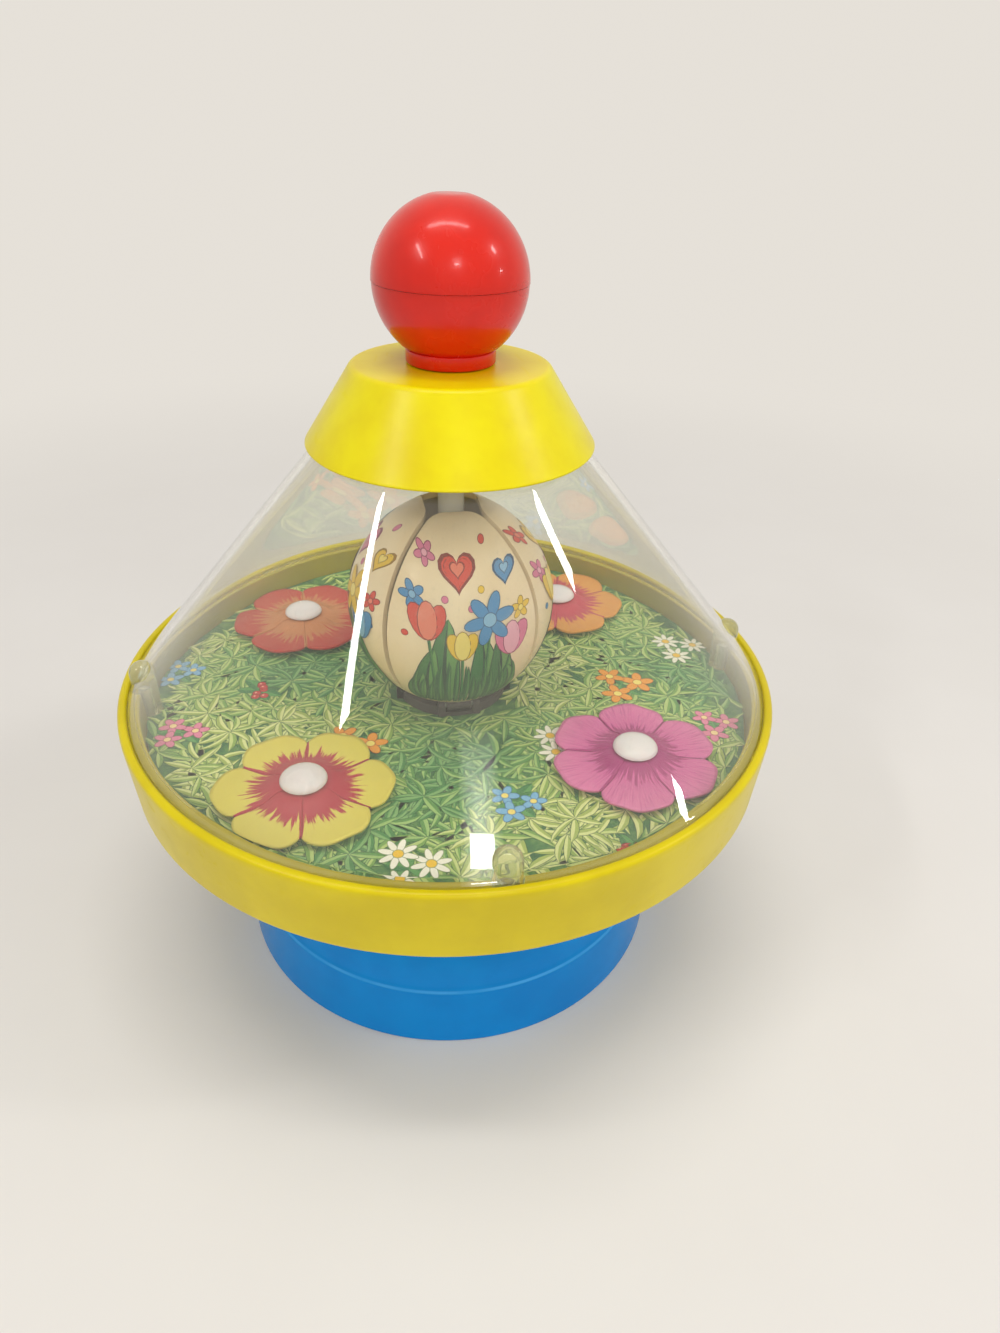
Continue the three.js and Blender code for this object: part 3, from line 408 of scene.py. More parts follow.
def arc(r, z, wide, tall, start, end, steps):
    """Points along an ellipse about a place in an outline, from one angle to another."""
    angles = [start + (end - start) * i / steps for i in range(steps + 1)]
    return [(r + wide * cos(a), z + tall * sin(a)) for a in angles]


def supported(profile, edge=0.5, gap=3.5):
    """Adds points to the long straight runs of an outline, so that its shading stays true."""
    points = []
    count = len(profile)
    for i, (r, z) in enumerate(profile):
        points.append((r, z))
        next_r, next_z = profile[(i + 1) % count]
        length = hypot(next_r - r, next_z - z)
        if length < 4 * edge:
            continue
        rows = max(1, round(length / gap))
        shares = [edge / length, *[k / rows for k in range(1, rows)], 1 - edge / length]
        points += [(r + (next_r - r) * share, z + (next_z - z) * share) for share in shares]
    return points


def revolved(profile, segments, closed=True):
    """Points and faces of a profile turned about Z. A profile on the axis closes there."""
    points = []
    rings = []
    for r, z in profile:
        if r < 1e-6:
            rings.append([len(points)] * segments)
            points.append((0, 0, z))
            continue
        rings.append(list(range(len(points), len(points) + segments)))
        for i in range(segments):
            angle = 2 * pi * i / segments
            points.append((r * cos(angle), r * sin(angle), z))
    faces = []
    last = len(rings) if closed else len(rings) - 1
    for k in range(last):
        a = rings[k]
        b = rings[(k + 1) % len(rings)]
        for i in range(segments):
            j = (i + 1) % segments
            corner = [a[i], a[j], b[j], b[i]]
            unique = list(dict.fromkeys(corner))
            if len(unique) > 2:
                faces.append(unique)
    return points, faces


def boxed(size, centre):
    """Points and faces of a box."""
    half = [s / 2 for s in size]
    points = []
    for dz in (-1, 1):
        for dx, dy in ((-1, -1), (1, -1), (1, 1), (-1, 1)):
            points.append(tuple(c + d * h for c, d, h in zip(centre, (dx, dy, dz), half)))
    faces = [[3, 2, 1, 0], [4, 5, 6, 7]]
    faces += [[i, (i + 1) % 4, 4 + (i + 1) % 4, 4 + i] for i in range(4)]
    return points, faces


def turn(x, y, angle):
    c = cos(angle)
    s = sin(angle)
    return c * x - s * y, s * x + c * y


def placed(shape, x=0, y=0, angle=0):
    """A shape moved in the plan, then turned about Z."""
    points, faces = shape
    return [(*turn(px + x, py + y, angle), pz) for px, py, pz in points], faces


def ring_of(shape, count, x=0, y=0, start=0):
    """Copies of a shape, each moved in the plan and then turned about Z in even steps."""
    return [placed(shape, x, y, start + i * 2 * pi / count) for i in range(count)]


def joined(*shapes):
    points = []
    faces = []
    for more_points, more_faces in shapes:
        start = len(points)
        points.extend(more_points)
        faces.extend([[i + start for i in face] for face in more_faces])
    return points, faces


def cut_out(piece, *shapes):
    """Cuts the shapes out of a piece."""
    cutter = make_object("cutter", *joined(*shapes))
    step = piece.modifiers.new("cut", "BOOLEAN")
    step.object = cutter
    step.operation = "DIFFERENCE"
    step.solver = "EXACT"
    depsgraph = bpy.context.evaluated_depsgraph_get()
    result = bpy.data.meshes.new_from_object(piece.evaluated_get(depsgraph))
    piece.modifiers.clear()
    old = piece.data
    piece.data = result
    bpy.data.meshes.remove(old)
    bpy.data.objects.remove(cutter)


def prism_faces(outline):
    """The faces of a prism whose points are those of one end, and then those of the other."""
    count = len(outline)
    faces = [list(range(count)), list(range(2 * count - 1, count - 1, -1))]
    faces += [[i, count + i, count + (i + 1) % count, (i + 1) % count] for i in range(count)]
    return faces


def grid_faces(rows, columns, start=0, flip=False):
    """Faces of a grid of points that are stored row by row, with one point more than its columns."""
    faces = []
    for i in range(rows):
        for j in range(columns):
            a = start + i * (columns + 1) + j
            b = a + columns + 1
            faces.append([a, b, b + 1, a + 1] if flip else [a, a + 1, b + 1, b])
    return faces


def drum(radius, bottom, top, segments=pin_segments, inner=0):
    """A cylinder, or a tube where inner is above zero."""
    profile = [(inner, bottom), (radius, bottom), (radius, top), (inner, top)]
    return revolved(profile, segments, closed=inner > 0)


def dress(piece, material, body, nodes):
    piece.data.materials.clear()
    piece.data.materials.append(material)
    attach(piece, body)
    if nodes:
        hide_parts(*nodes)


def add_piece(name, shape, material, body, nodes, cuts=(), angle=35):
    """A smooth piece with the cuts taken out, which stands in for the nodes that are named."""
    piece = make_object(name, *shape)
    if cuts:
        cut_out(piece, *cuts)
    dress(smooth(piece, angle), material, body, nodes)
    return piece


# Materials


def srgb(code):
    """A linear colour from a hex code."""
    values = [int(code[i:i + 2], 16) / 255 for i in (0, 2, 4)]
    return tuple(v / 12.92 if v <= 0.04045 else ((v + 0.055) / 1.055) ** 2.4 for v in values)


class Paint:
    """A small helper that makes the nodes of one material, or of the world."""

    def __init__(self, name, world=False):
        self.owner = bpy.data.worlds.new(name) if world else bpy.data.materials.new(name)
        self.owner.use_nodes = True
        self.tree = self.owner.node_tree
        self.tree.nodes.clear()
        self.output = self.tree.nodes.new("ShaderNodeOutputWorld" if world else "ShaderNodeOutputMaterial")
        self.place = self.add("ShaderNodeTexCoord").outputs["Object"]

    def add(self, kind, values=(), settings=None, **inputs):
        made = self.tree.nodes.new(kind)
        for key, value in (settings or {}).items():
            setattr(made, key, value)
        pairs = [(made.inputs[i], v) for i, v in enumerate(values)]
        pairs += [(made.inputs[key.replace("_", " ")], v) for key, v in inputs.items()]
        for socket, value in pairs:
            if value is None:
                continue
            if isinstance(value, bpy.types.NodeSocket):
                self.tree.links.new(value, socket)
            elif socket.type == "RGBA" and len(value) == 3:
                socket.default_value = (*value, 1)
            else:
                socket.default_value = value
        return made

    def math(self, operation, *values, clamp=False):
        made = self.add("ShaderNodeMath", values, {"operation": operation, "use_clamp": clamp})
        return made.outputs[0]

    def times(self, *values):
        product = values[0]
        for value in values[1:]:
            product = self.math("MULTIPLY", product, value)
        return product

    def plus(self, a, b, **more):
        return self.math("ADD", a, b, **more)

    def minus(self, a, b):
        return self.math("SUBTRACT", a, b)

    def rest(self, share):
        return self.math("SUBTRACT", 1.0, share)

    def size(self, value):
        return self.math("ABSOLUTE", value)

    def noise(self, scale, detail=3, roughness=0.55, place=None, distortion=0):
        made = self.add(
            "ShaderNodeTexNoise",
            Vector=place or self.place,
            Scale=scale,
            Detail=detail,
            Roughness=roughness,
            Distortion=distortion,
        )
        return made.outputs["Fac"]

    def ramp(self, factor, stops):
        made = self.add("ShaderNodeValToRGB", [factor])
        elements = made.color_ramp.elements
        while len(elements) < len(stops):
            elements.new(0.5)
        for element, (spot, color) in zip(elements, stops):
            element.position = spot
            element.color = (*color, 1)
        return made.outputs["Color"]

    def mix(self, factor, a, b, blend="MIX"):
        values = [factor, *[None] * 5, a, b]
        return self.add("ShaderNodeMix", values, {"data_type": "RGBA", "blend_type": blend}).outputs[2]

    def stretched(self, x, y, z):
        return self.add("ShaderNodeMapping", Vector=self.place, Scale=(x, y, z)).outputs[0]

    def height(self):
        return self.add("ShaderNodeSeparateXYZ", [self.place]).outputs["Z"]

    def radius(self):
        flat = self.add("ShaderNodeVectorMath", [self.place, (1, 1, 0)], {"operation": "MULTIPLY"})
        return self.add("ShaderNodeVectorMath", [flat.outputs[0]], {"operation": "LENGTH"}).outputs["Value"]

    def between(self, value, start, end):
        made = self.add("ShaderNodeMapRange", [value, start, end], {"interpolation_type": "SMOOTHSTEP"})
        return made.outputs[0]

    def bump(self, height, strength, distance, normal=None):
        return self.add(
            "ShaderNodeBump", Height=height, Strength=strength, Distance=distance, Normal=normal
        ).outputs[0]

    def seen(self):
        """One for what is looked at, straight, mirrored or through clear plastic, and else zero."""
        path = self.add("ShaderNodeLightPath").outputs
        direct = self.math("MAXIMUM", path["Is Camera Ray"], path["Is Glossy Ray"])
        direct = self.math("MAXIMUM", direct, path["Is Transmission Ray"])
        return self.times(direct, self.math("LESS_THAN", path["Diffuse Depth"], 0.5))

    def finish(self, shader):
        self.tree.links.new(shader, self.output.inputs["Surface"])
        return self.owner

    def surface(self, color, rough, normal=None, **more):
        """The last node of a material, taken to the output."""
        made = self.add("ShaderNodeBsdfPrincipled", Base_Color=color, Roughness=rough, Normal=normal, **more)
        return self.finish(made.outputs[0])


def plastic(name, color, shade, roughness, peel=0.06, marks=0.5, paled=None, painted_ledge_shade=None, **more):
    """Moulded plastic: cloudy colour, orange peel, fine rubbed marks and a little grime.

    paled gives four heights between which an edge is painted paler as a highlight, and its colour.
    painted_ledge_shade gives two heights and a radius within which the colour is darkened by painted shade,
    and the shade's colour.
    """
    paint = Paint(name)
    cloud = paint.noise(38, 4)
    base = paint.mix(paint.between(cloud, 0.35, 0.7), color, shade)
    grime = paint.between(paint.noise(160, 5, 0.7), 0.66, 0.78)
    base = paint.mix(paint.times(grime, 0.18 * marks), base, tuple(c * 0.45 for c in color))
    # A paler band between four heights: a painted highlight along an edge.
    if paled:
        start, full, less, end, pale = paled
        up = paint.between(paint.height(), start, full)
        down = paint.rest(paint.between(paint.height(), less, end))
        share = paint.times(up, down, paint.between(cloud, 0.2, 0.7))
        base = paint.mix(paint.times(share, 0.5), base, pale)
    # Painted shade: a dull olive laid between two heights within a radius, where the pan's ledge and inner
    # wall lie under the cone's flange. The colour named dust here is that shade.
    if painted_ledge_shade:
        floor, top, side, dust = painted_ledge_shade
        above = paint.between(paint.height(), floor, floor + 0.0003)
        below = paint.rest(paint.between(paint.height(), top, top + 0.0012))
        within = paint.rest(paint.between(paint.radius(), side, side + 0.0004))
        share = paint.times(above, below, within, paint.plus(0.55, paint.times(cloud, 0.4)))
        base = paint.mix(share, base, dust)
    scuff = paint.noise(1, 2, 0.5, paint.stretched(420, 60, 260), 0.6)
    rubbed = paint.between(scuff, 0.6, 0.74)
    rough = paint.plus(roughness, paint.times(rubbed, 0.22 * marks))
    rough = paint.plus(rough, paint.times(cloud, 0.08))
    peeled = paint.bump(paint.noise(620, 2), peel, 0.0004)
    lined = paint.bump(scuff, 0.05 * marks, 0.0003, peeled)
    return paint.surface(base, rough, lined, IOR=1.49, **more)


def metal(name, color, roughness):
    paint = Paint(name)
    streak = paint.noise(1, 3, 0.6, paint.stretched(300, 300, 2400))
    base = paint.mix(paint.between(streak, 0.3, 0.75), color, tuple(c * 0.72 for c in color))
    rough = paint.plus(roughness, paint.times(streak, 0.18))
    normal = paint.bump(streak, 0.12, 0.0002)
    return paint.surface(base, rough, normal, Metallic=1.0)


def soft(weight, radius, scale=0.5):
    """Inputs for a plastic into which light sinks a little: how much, how far and on what scale."""
    return {"Subsurface_Weight": weight, "Subsurface_Radius": radius, "Subsurface_Scale": scale}


yellow_gloss = {"Specular_IOR_Level": 0.36, **soft(0.12, (0.006, 0.004, 0.001), 0.6)}


def yellow_plastic():
    return plastic("yellow_plastic", srgb("EBDC00"), srgb("DFCA00"), 0.27, **yellow_gloss)


def pan_shaded_yellow():
    """The pan's yellow: a darker, more orange copy of the collar's as painted shade, and a dull olive painted
    shade on the ledge and on the wall inside it.
    """
    floor = (plate_top - 0.6) * metre_per_mm
    edge = (ledge_top + 0.4) * metre_per_mm
    side = (lip_inner_radius + 0.1) * metre_per_mm
    # Painted shade on the ledge and the wall inside it, under the cone's flange.
    painted_ledge_shade = (floor, edge, side, srgb("9C8E2C"))
    # A darker, more orange copy of the collar's yellow: painted shade, not a different plastic.
    return plastic("pan_shaded_yellow", srgb("DAC600"), srgb("CEB900"), 0.27, painted_ledge_shade=painted_ledge_shade, **yellow_gloss)


def blue_plastic():
    """The foot's plastic, with a painted highlight: a paler blue line along the edge at the top of its band.
    """
    # Painted highlight: a paler blue line along the crease where the band meets the dome.
    edge = foot_band_height * metre_per_mm
    highlight_band = (edge - 0.0006, edge - 0.0002, edge + 0.0001, edge + 0.0005, srgb("62C2FF"))
    colors = (srgb("0088D6"), srgb("007ECC"))
    return plastic("blue_plastic", *colors, 0.16, marks=0.15, paled=highlight_band, Specular_IOR_Level=0.2)


def red_plastic():
    return plastic(
        "red_plastic",
        srgb("DE1E08"),
        srgb("CC1505"),
        0.24,
        peel=0.02,
        marks=0.12,
        Specular_IOR_Level=0.3,
        Coat_Weight=0.35,
        Coat_Roughness=0.08,
        **soft(0.3, (0.012, 0.0022, 0.001)),
    )


def dark_plastic():
    return plastic("dark_plastic", srgb("4C4446"), srgb("3B3437"), 0.45)


def white_plastic():
    glow = soft(0.25, (0.004, 0.002, 0.0015))
    return plastic("white_plastic", srgb("E9E2E4"), srgb("E1D9DB"), 0.22, marks=0.3, **glow)


def cream_plastic():
    return plastic("cream_plastic", srgb("FDE8C4"), srgb("F8DEB4"), 0.26, marks=0.3)


def clear_plastic(name, tint, dust, bend, shade, milk=0.0, film_color=srgb("D8D4B8")):
    """Clear plastic with a glossy skin, dust and fine scratches, milky where milk is above zero.

    Lamps shine through it, dimmed by the shade.
    """
    paint = Paint(name)
    fine = paint.noise(900, 5, 0.7)
    patch = paint.noise(26, 4, 0.6)
    specks = paint.between(fine, 0.6, 0.76)
    film = paint.times(paint.between(patch, 0.25, 0.8), dust)
    film = paint.plus(film, paint.times(specks, dust * 1.6))
    amount = paint.plus(milk, film)
    scratch = paint.between(paint.noise(1, 2, 0.5, paint.stretched(900, 900, 40), 0.4), 0.62, 0.78)
    amount = paint.plus(amount, paint.times(scratch, dust * 0.9), clamp=True)
    rough = paint.plus(0.015, paint.times(patch, 0.02))
    glass = paint.add(
        "ShaderNodeBsdfPrincipled",
        Base_Color=tint,
        Roughness=rough,
        IOR=bend,
        Transmission_Weight=1.0,
        Coat_Weight=1.0,
        Coat_IOR=1.5,
        Coat_Roughness=0.02,
    )
    dirt = paint.add("ShaderNodeBsdfDiffuse", Color=film_color)
    covered = paint.add("ShaderNodeMixShader", [amount, glass.outputs[0], dirt.outputs[0]])
    let_through = paint.add("ShaderNodeBsdfTransparent", Color=tuple(t * shade for t in tint))
    path = paint.add("ShaderNodeLightPath")
    shader = paint.add(
        "ShaderNodeMixShader",
        [path.outputs["Is Shadow Ray"], covered.outputs[0], let_through.outputs[0]],
    )
    return paint.finish(shader.outputs[0])


def printed(name, roughness):
    """Ink on plastic: the tint of each face, broken up by a fine grain."""
    paint = Paint(name)
    tint = paint.add("ShaderNodeVertexColor", settings={"layer_name": "tint"}).outputs["Color"]
    grain = paint.noise(1500, 3, 0.6)
    base = paint.mix(paint.times(grain, 0.22), tint, srgb("3E5A2C"), "SOFT_LIGHT")
    rubbed = paint.times(paint.between(paint.noise(90, 4), 0.6, 0.8), 0.12)
    paled = paint.mix(rubbed, base, srgb("F2EEDC"))
    rough = paint.plus(roughness, paint.times(grain, 0.1))
    return paint.surface(paled, rough, IOR=1.45)


def meadow_base():
    paint = Paint("meadow_ink")
    patch = paint.noise(260, 5, 0.6)
    base = paint.ramp(patch, [(0.3, srgb("28583A")), (0.5, srgb("3F7442")), (0.7, srgb("6C9450"))])
    rough = paint.plus(0.4, paint.times(patch, 0.15))
    normal = paint.bump(paint.noise(900, 2), 0.04, 0.0003)
    return paint.surface(base, rough, normal)


def flower_plastic(name, outer, inner, heart, reach, spikes, streak):
    """A petal whose colour runs from a ragged heart to its edge, with fine streaks along it.

    Three attributes of the mesh steer it: span is the distance from the middle over the radius,
    side runs across a petal from -1 to 1, and around is the angle about the middle.
    """
    paint = Paint(name)
    span, side, around = [
        paint.add("ShaderNodeAttribute", settings={"attribute_name": key}).outputs["Fac"]
        for key in ("span", "side", "around")
    ]

    def streaks(per_turn, along, level, detail):
        spot = [paint.times(around, per_turn), paint.times(span, along), level]
        return paint.noise(1, detail, 0.6, paint.add("ShaderNodeCombineXYZ", spot).outputs[0])

    rays = streaks(13.0, 1.2, 0.0, 2)
    wander = streaks(30.0, 6.0, 3.0, 3)
    seam = paint.between(paint.size(side), 0.9, 1.0)
    edge = paint.minus(span, paint.times(paint.minus(rays, 0.42), spikes))
    edge = paint.minus(edge, paint.times(paint.minus(wander, 0.5), spikes * 0.5))
    edge = paint.minus(edge, paint.times(seam, spikes * 0.55))
    in_heart = paint.rest(paint.between(edge, reach - 0.03, reach + 0.05))
    fine = streaks(34.0, 3.0, 7.0, 3)
    body = paint.mix(paint.between(span, 0.35, 1.0), inner, outer)
    body = paint.mix(paint.times(paint.between(fine, 0.45, 0.75), streak), body, heart)
    line = paint.between(paint.size(side), 0.955, 0.985)
    body = paint.mix(paint.times(line, 0.45), body, heart)
    pale = tuple(min(1, c * 1.5 + 0.05) for c in heart)
    speckled = paint.mix(paint.times(paint.between(wander, 0.55, 0.75), 0.5), heart, pale)
    color = paint.mix(in_heart, body, speckled)
    normal = paint.bump(fine, 0.1, 0.0004)
    rough = paint.plus(0.34, paint.times(fine, 0.12))
    glow = soft(0.1, (0.003, 0.002, 0.001))
    return paint.surface(color, rough, normal, IOR=1.47, Specular_IOR_Level=0.35, **glow)


# Colours of a petal's edge and inside and of its heart, the heart's reach, its spikes and its streaks
petal_looks = {
    "magenta": ("DC7AAA", "D0649E", "A63878", 0.42, 0.8, 0.5),
    "orange": ("E29C48", "E4A04E", "C44A5A", 0.54, 0.8, 0.25),
    "red": ("B8332C", "C04838", "C47E50", 0.52, 0.9, 0.3),
    "yellow": ("D8C858", "DCCE62", "B03044", 0.52, 0.65, 0.06),
}


# Foot


def foot_outline(inset, steps=28):
    shoulder = foot_band_top_radius - foot_edge - inset
    floor = foot_band_height - inset
    points = []
    for i in range(steps + 1):
        angle = i / steps * pi / 2
        across = cos(angle) ** (2 / foot_dome_power)
        up = sin(angle) ** (2 / foot_dome_power)
        radius = foot_crown_radius + (shoulder - foot_crown_radius) * across
        points.append((radius, floor + (foot_height - inset - floor) * up))
    return points


def make_foot(material):
    bore = foot_boss_bore
    dome = foot_outline(0)
    inside = foot_outline(foot_wall)
    outer = fillet(
        [
            (foot_radius - foot_wall, 0, 0),
            (foot_radius, 0, foot_rim_edge),
            (foot_band_top_radius, foot_band_height - foot_edge / 2, foot_edge * 0.6),
            (dome[1][0], dome[1][1], 0),
        ]
    )
    profile = [*outer, *dome[2:], (bore, foot_height), (bore, foot_height - foot_wall), *reversed(inside)]
    profile.append((foot_band_top_radius - foot_wall, foot_band_height - foot_wall))
    profile.append((foot_radius - foot_wall, 0))
    shell = revolved(supported(profile), shell_segments)
    boss = drum(foot_boss_radius, foot_boss_bottom, foot_height - foot_wall / 2, small_segments, inner=bore)
    shape = joined(shell, boss, *ring_of(foot_rib(), foot_rib_count, start=pi / 4))
    add_piece("foot_shell", shape, material, "base", ["base_foot"])


def foot_rib():
    """A rib along +X from the boss to the dome's inside."""
    edge = [(r + foot_wall / 2, z) for r, z in foot_outline(foot_wall) if z > foot_rib_floor]
    start = foot_boss_radius - overlap
    outline = [(start, foot_rib_floor), (edge[0][0], foot_rib_floor), *edge, (start, edge[-1][1])]
    half = foot_rib_thickness / 2
    points = [(r, y, z) for y in (-half, half) for r, z in outline]
    return points, prism_faces(outline)


# Pan


def make_pan(material):
    plate_bottom = plate_top - plate_thickness
    groove_outer = pan_radius - pan_wall
    upstand_outer = pan_inner_radius + upstand_wall
    corners = [
        (hub_bore, hub_bottom, 0.2),
        (hub_radius, hub_bottom, 0.3),
        (hub_radius, plate_bottom, 0.4),
        (upstand_outer, plate_bottom, 0.4),
        (upstand_outer, ledge_top - ledge_thickness, 0.3),
        (groove_outer, ledge_top - ledge_thickness, 0.3),
        (pan_foot_radius - pan_wall, pan_bottom, 0.5),
        (pan_foot_radius, pan_bottom, 1.5),
        (pan_radius, ledge_top, 1.2),
        (pan_radius, rim_top, 1.2),
        (lip_inner_radius, rim_top, 0.9),
        (lip_inner_radius, ledge_top, 0.2),
        (pan_inner_radius, ledge_top, 0.3),
        (pan_inner_radius, plate_top, 0.4),
        (hub_bore, plate_top, 0.2),
    ]
    shape = revolved(supported(fillet(corners)), wide_segments)
    cut = drum(boss_radius + boss_gap, plate_top + pan_cut_rise, rim_top + overrun)
    cuts = ring_of(cut, boss_count, y=-boss_circle)
    add_piece("pan_body", shape, material, "spinner", ["pan"], cuts)
    start = hub_radius - overlap
    end = pan_foot_radius - pan_wall / 2
    size = (end - start, rib_thickness, rib_depth + overlap)
    rib = boxed(size, ((start + end) / 2, 0, plate_bottom - rib_depth / 2 + overlap / 2))
    foot = plate_bottom - pillar_depth
    pillar = drum(pillar_radius, foot, plate_bottom + overlap / 2, inner=pillar_bore)
    seat = drum(seat_radius, foot, disc_top + seat_rise, inner=seat_bore)
    shapes = ring_of(rib, rib_count)
    shapes += ring_of(pillar, boss_count, y=-boss_circle)
    shapes += ring_of(seat, boss_count, y=-flower_circle, start=pi / 4)
    add_piece("pan_ribs", joined(*shapes), material, "spinner", ())


# Cone


def cone_radius_at(z):
    return cone_flange_radius - cone_shoulder - cone_slope * (z - cone_start)


def make_cone(material, lug_material):
    start = cone_start
    across = cone_wall * hypot(1, cone_slope)
    under = cone_top - cone_wall
    corners = [
        (cone_hole_radius, under, 0),
        (cone_radius_at(under) - across, under, 0.3),
        (cone_radius_at(start) - across, start, 0.4),
        (cone_radius_at(start) - across, cone_bottom, 0.3),
        (cone_flange_radius, cone_bottom, 0.3),
        (cone_flange_radius, start, 0.15),
        (cone_radius_at(start), start + cone_shoulder, 0.2),
        (cone_top_radius, cone_top, 0.4),
        (cone_hole_radius, cone_top, 0),
    ]
    shape = revolved(supported(fillet(corners)), wide_segments)
    dome = plate_top + boss_height - boss_radius
    outline = [
        (pilot_radius, plate_top + boss_gap),
        (boss_radius, plate_top + boss_gap),
        *arc(0, dome, boss_radius, boss_radius, 0, pi / 2, 12),
        (0, plate_top + pilot_depth),
        (pilot_radius, plate_top + pilot_depth - pilot_radius / 2),
    ]
    socket = drum(boss_radius + lug_seam, cone_bottom - overlap, dome, lug_segments)
    cuts = ring_of(socket, boss_count, y=-boss_circle)
    add_piece("cone_shell", shape, material, "spinner", ["clear_cone"], cuts)
    bosses = ring_of(revolved(outline, lug_segments), boss_count, y=-boss_circle)
    add_piece("cone_lugs", joined(*bosses), lug_material, "spinner", ())


# Collar


def make_collar(material):
    roof = collar_top - collar_roof
    lean = (collar_bottom_radius - collar_top_radius) / (collar_top - collar_bottom)
    corners = [
        (collar_hole_radius, roof, 0),
        (collar_bottom_radius - lean * (roof - collar_bottom) - collar_wall, roof, 0.6),
        (collar_bottom_radius - collar_wall, collar_bottom, 0.3),
        (collar_bottom_radius, collar_bottom, 0.4),
        (collar_top_radius, collar_top, collar_edge),
        (collar_hole_radius, collar_top, 0.3),
    ]
    shape = revolved(supported(fillet(corners, 8)), shell_segments)
    add_piece("collar_shell", shape, material, "spinner", ["collar"])


# Knob


def make_knob(material):
    steps = 24
    flat_angle = acos(knob_flat_radius / knob_radius)
    outside = arc(0, knob_centre, knob_radius, knob_radius, 0, flat_angle, steps)
    inner = knob_radius - knob_wall
    profile = [(inner, knob_centre + knob_gap), (knob_radius - knob_bevel, knob_centre + knob_gap)]
    profile += [(r, max(z, knob_centre + knob_bevel)) for r, z in outside]
    profile += [(0, knob_top)]
    shape = revolved(profile, ball_segments, closed=False)
    add_piece("ball_upper", shape, material, "plunger", ["knob_upper"], angle=50)
    ball = knob_radius - knob_seam
    meet = knob_centre - sqrt(ball ** 2 - knob_flange_radius ** 2)
    neck = asin((meet + knob_neck_rise - knob_centre) / ball)
    flange = [
        (0, knob_bottom, 0),
        (knob_flange_radius, knob_bottom, 0.5),
        (knob_flange_radius, meet - knob_bevel, 0.3),
        (knob_flange_radius - knob_flange_chamfer, meet + knob_gap, 0),
    ]
    lower = fillet(flange, 4) + arc(0, knob_centre, ball, ball, neck, 0, steps)[1:]
    lower += [(ball - 2 * knob_gap, knob_centre - knob_gap), (inner, knob_centre - knob_gap)]
    shape = revolved(lower, ball_segments, closed=False)
    add_piece("ball_lower", shape, material, "plunger", ["knob_lower"], angle=50)


# Egg


def egg_halves(inset):
    """The heights of the egg's lower and upper part, as if each went on to the axis."""
    lower = (egg_wide - egg_foot) / sqrt(1 - (hinge_radius / egg_radius) ** 2) - inset
    upper = (egg_top - egg_wide) / sqrt(1 - (egg_top_radius / egg_radius) ** (1 / egg_top_power)) - inset
    return lower, upper


def egg_radius_at(z, inset=0):
    lower, upper = egg_halves(inset)
    wide = egg_radius - inset
    if z < egg_wide:
        return wide * sqrt(max(0, 1 - ((egg_wide - z) / lower) ** 2))
    return wide * max(0, 1 - ((z - egg_wide) / upper) ** 2) ** egg_top_power


def egg_line(inset, rim, foot, steps=160):
    """The egg's profile from inside its mouth over the rim and down to the foot."""
    lower, upper = egg_halves(inset)
    wide = egg_radius - inset
    top = egg_wide + upper * sqrt(1 - (rim / wide) ** (1 / egg_top_power))
    bottom = egg_wide - lower * sqrt(1 - (foot / wide) ** 2)
    line = [(rim / 2, top)]
    for i in range(steps + 1):
        z = top + (bottom - top) * (1 - cos(pi * i / steps)) / 2
        line.append((egg_radius_at(z, inset), z))
    return line


def walked(line, shares):
    """The points at some shares of the length of a line."""
    lengths = [0]
    for (r, z), (next_r, next_z) in zip(line, line[1:]):
        lengths.append(lengths[-1] + hypot(next_r - r, next_z - z))
    spots = []
    for share in shares:
        goal = max(0, min(1, share)) * lengths[-1]
        k = min(len(line) - 2, max(0, bisect_right(lengths, goal) - 1))
        part = (goal - lengths[k]) / (lengths[k + 1] - lengths[k])
        spots.append(tuple(a + (b - a) * part for a, b in zip(line[k], line[k + 1])))
    return spots


def petal_point(r, z, u):
    """The place across a petal, from -1 to 1, at a radius and height."""
    angle = u * (pi / 4 - asin(egg_split / 2 / r))
    return (r * sin(angle), -r * cos(angle), z)


def top_edge(x):
    """How far from the axis the upper edge of a petal runs beside its middle."""
    corner = egg_mouth_radius - egg_split / sqrt(2)
    x = abs(x) - (corner - egg_corner_reach)
    slant = egg_corner_reach / sqrt(2)
    if x <= 0:
        return egg_mouth_radius
    bend = egg_corner_reach - slant
    root = sqrt(max(0, egg_corner_reach ** 2 - bend * x))
    t = min(1, (egg_corner_reach - root) / bend)
    return egg_mouth_radius + slant * t * t


def egg_petal_shape():
    """A quarter of the egg's shell, cut off at the mouth, as an outer and an inner sheet with edges."""
    rows = 52
    columns = 32
    fine_steps = 900
    points = []
    outside = (0, egg_top_radius, hinge_radius)
    inside = (egg_wall, egg_mouth_radius, hinge_radius - egg_foot_inset)
    for inset, rim, foot in (outside, inside):
        line = egg_line(inset, rim, foot)
        fine = walked(line, [i / fine_steps for i in range(fine_steps + 1)])
        grid = []
        for j in range(columns + 1):
            u = sin(pi / 2 * (2 * j / columns - 1))
            first = 0
            while first < fine_steps / 2:
                x, y, _ = petal_point(*fine[first], u)
                if -y >= top_edge(x):
                    break
                first += 1
            left = fine_steps - first
            shares = [(first + left * (i / rows) ** 1.15) / fine_steps for i in range(rows + 1)]
            grid.append([petal_point(r, z, u) for r, z in walked(line, shares)])
        points += [grid[j][rows - i] for i in range(rows + 1) for j in range(columns + 1)]
    width = columns + 1
    sheet = (rows + 1) * width
    faces = []
    for pair in zip(grid_faces(rows, columns), grid_faces(rows, columns, sheet, flip=True)):
        faces += pair
    for i in range(rows):
        a = i * width
        faces.append([a, a + width, sheet + a + width, sheet + a])
        b = a + columns
        faces.append([b, sheet + b, sheet + b + width, b + width])
    for j in range(columns):
        faces.append([j, sheet + j, sheet + j + 1, j + 1])
        a = rows * width + j
        faces.append([a, a + 1, sheet + a + 1, sheet + a])
    return points, faces


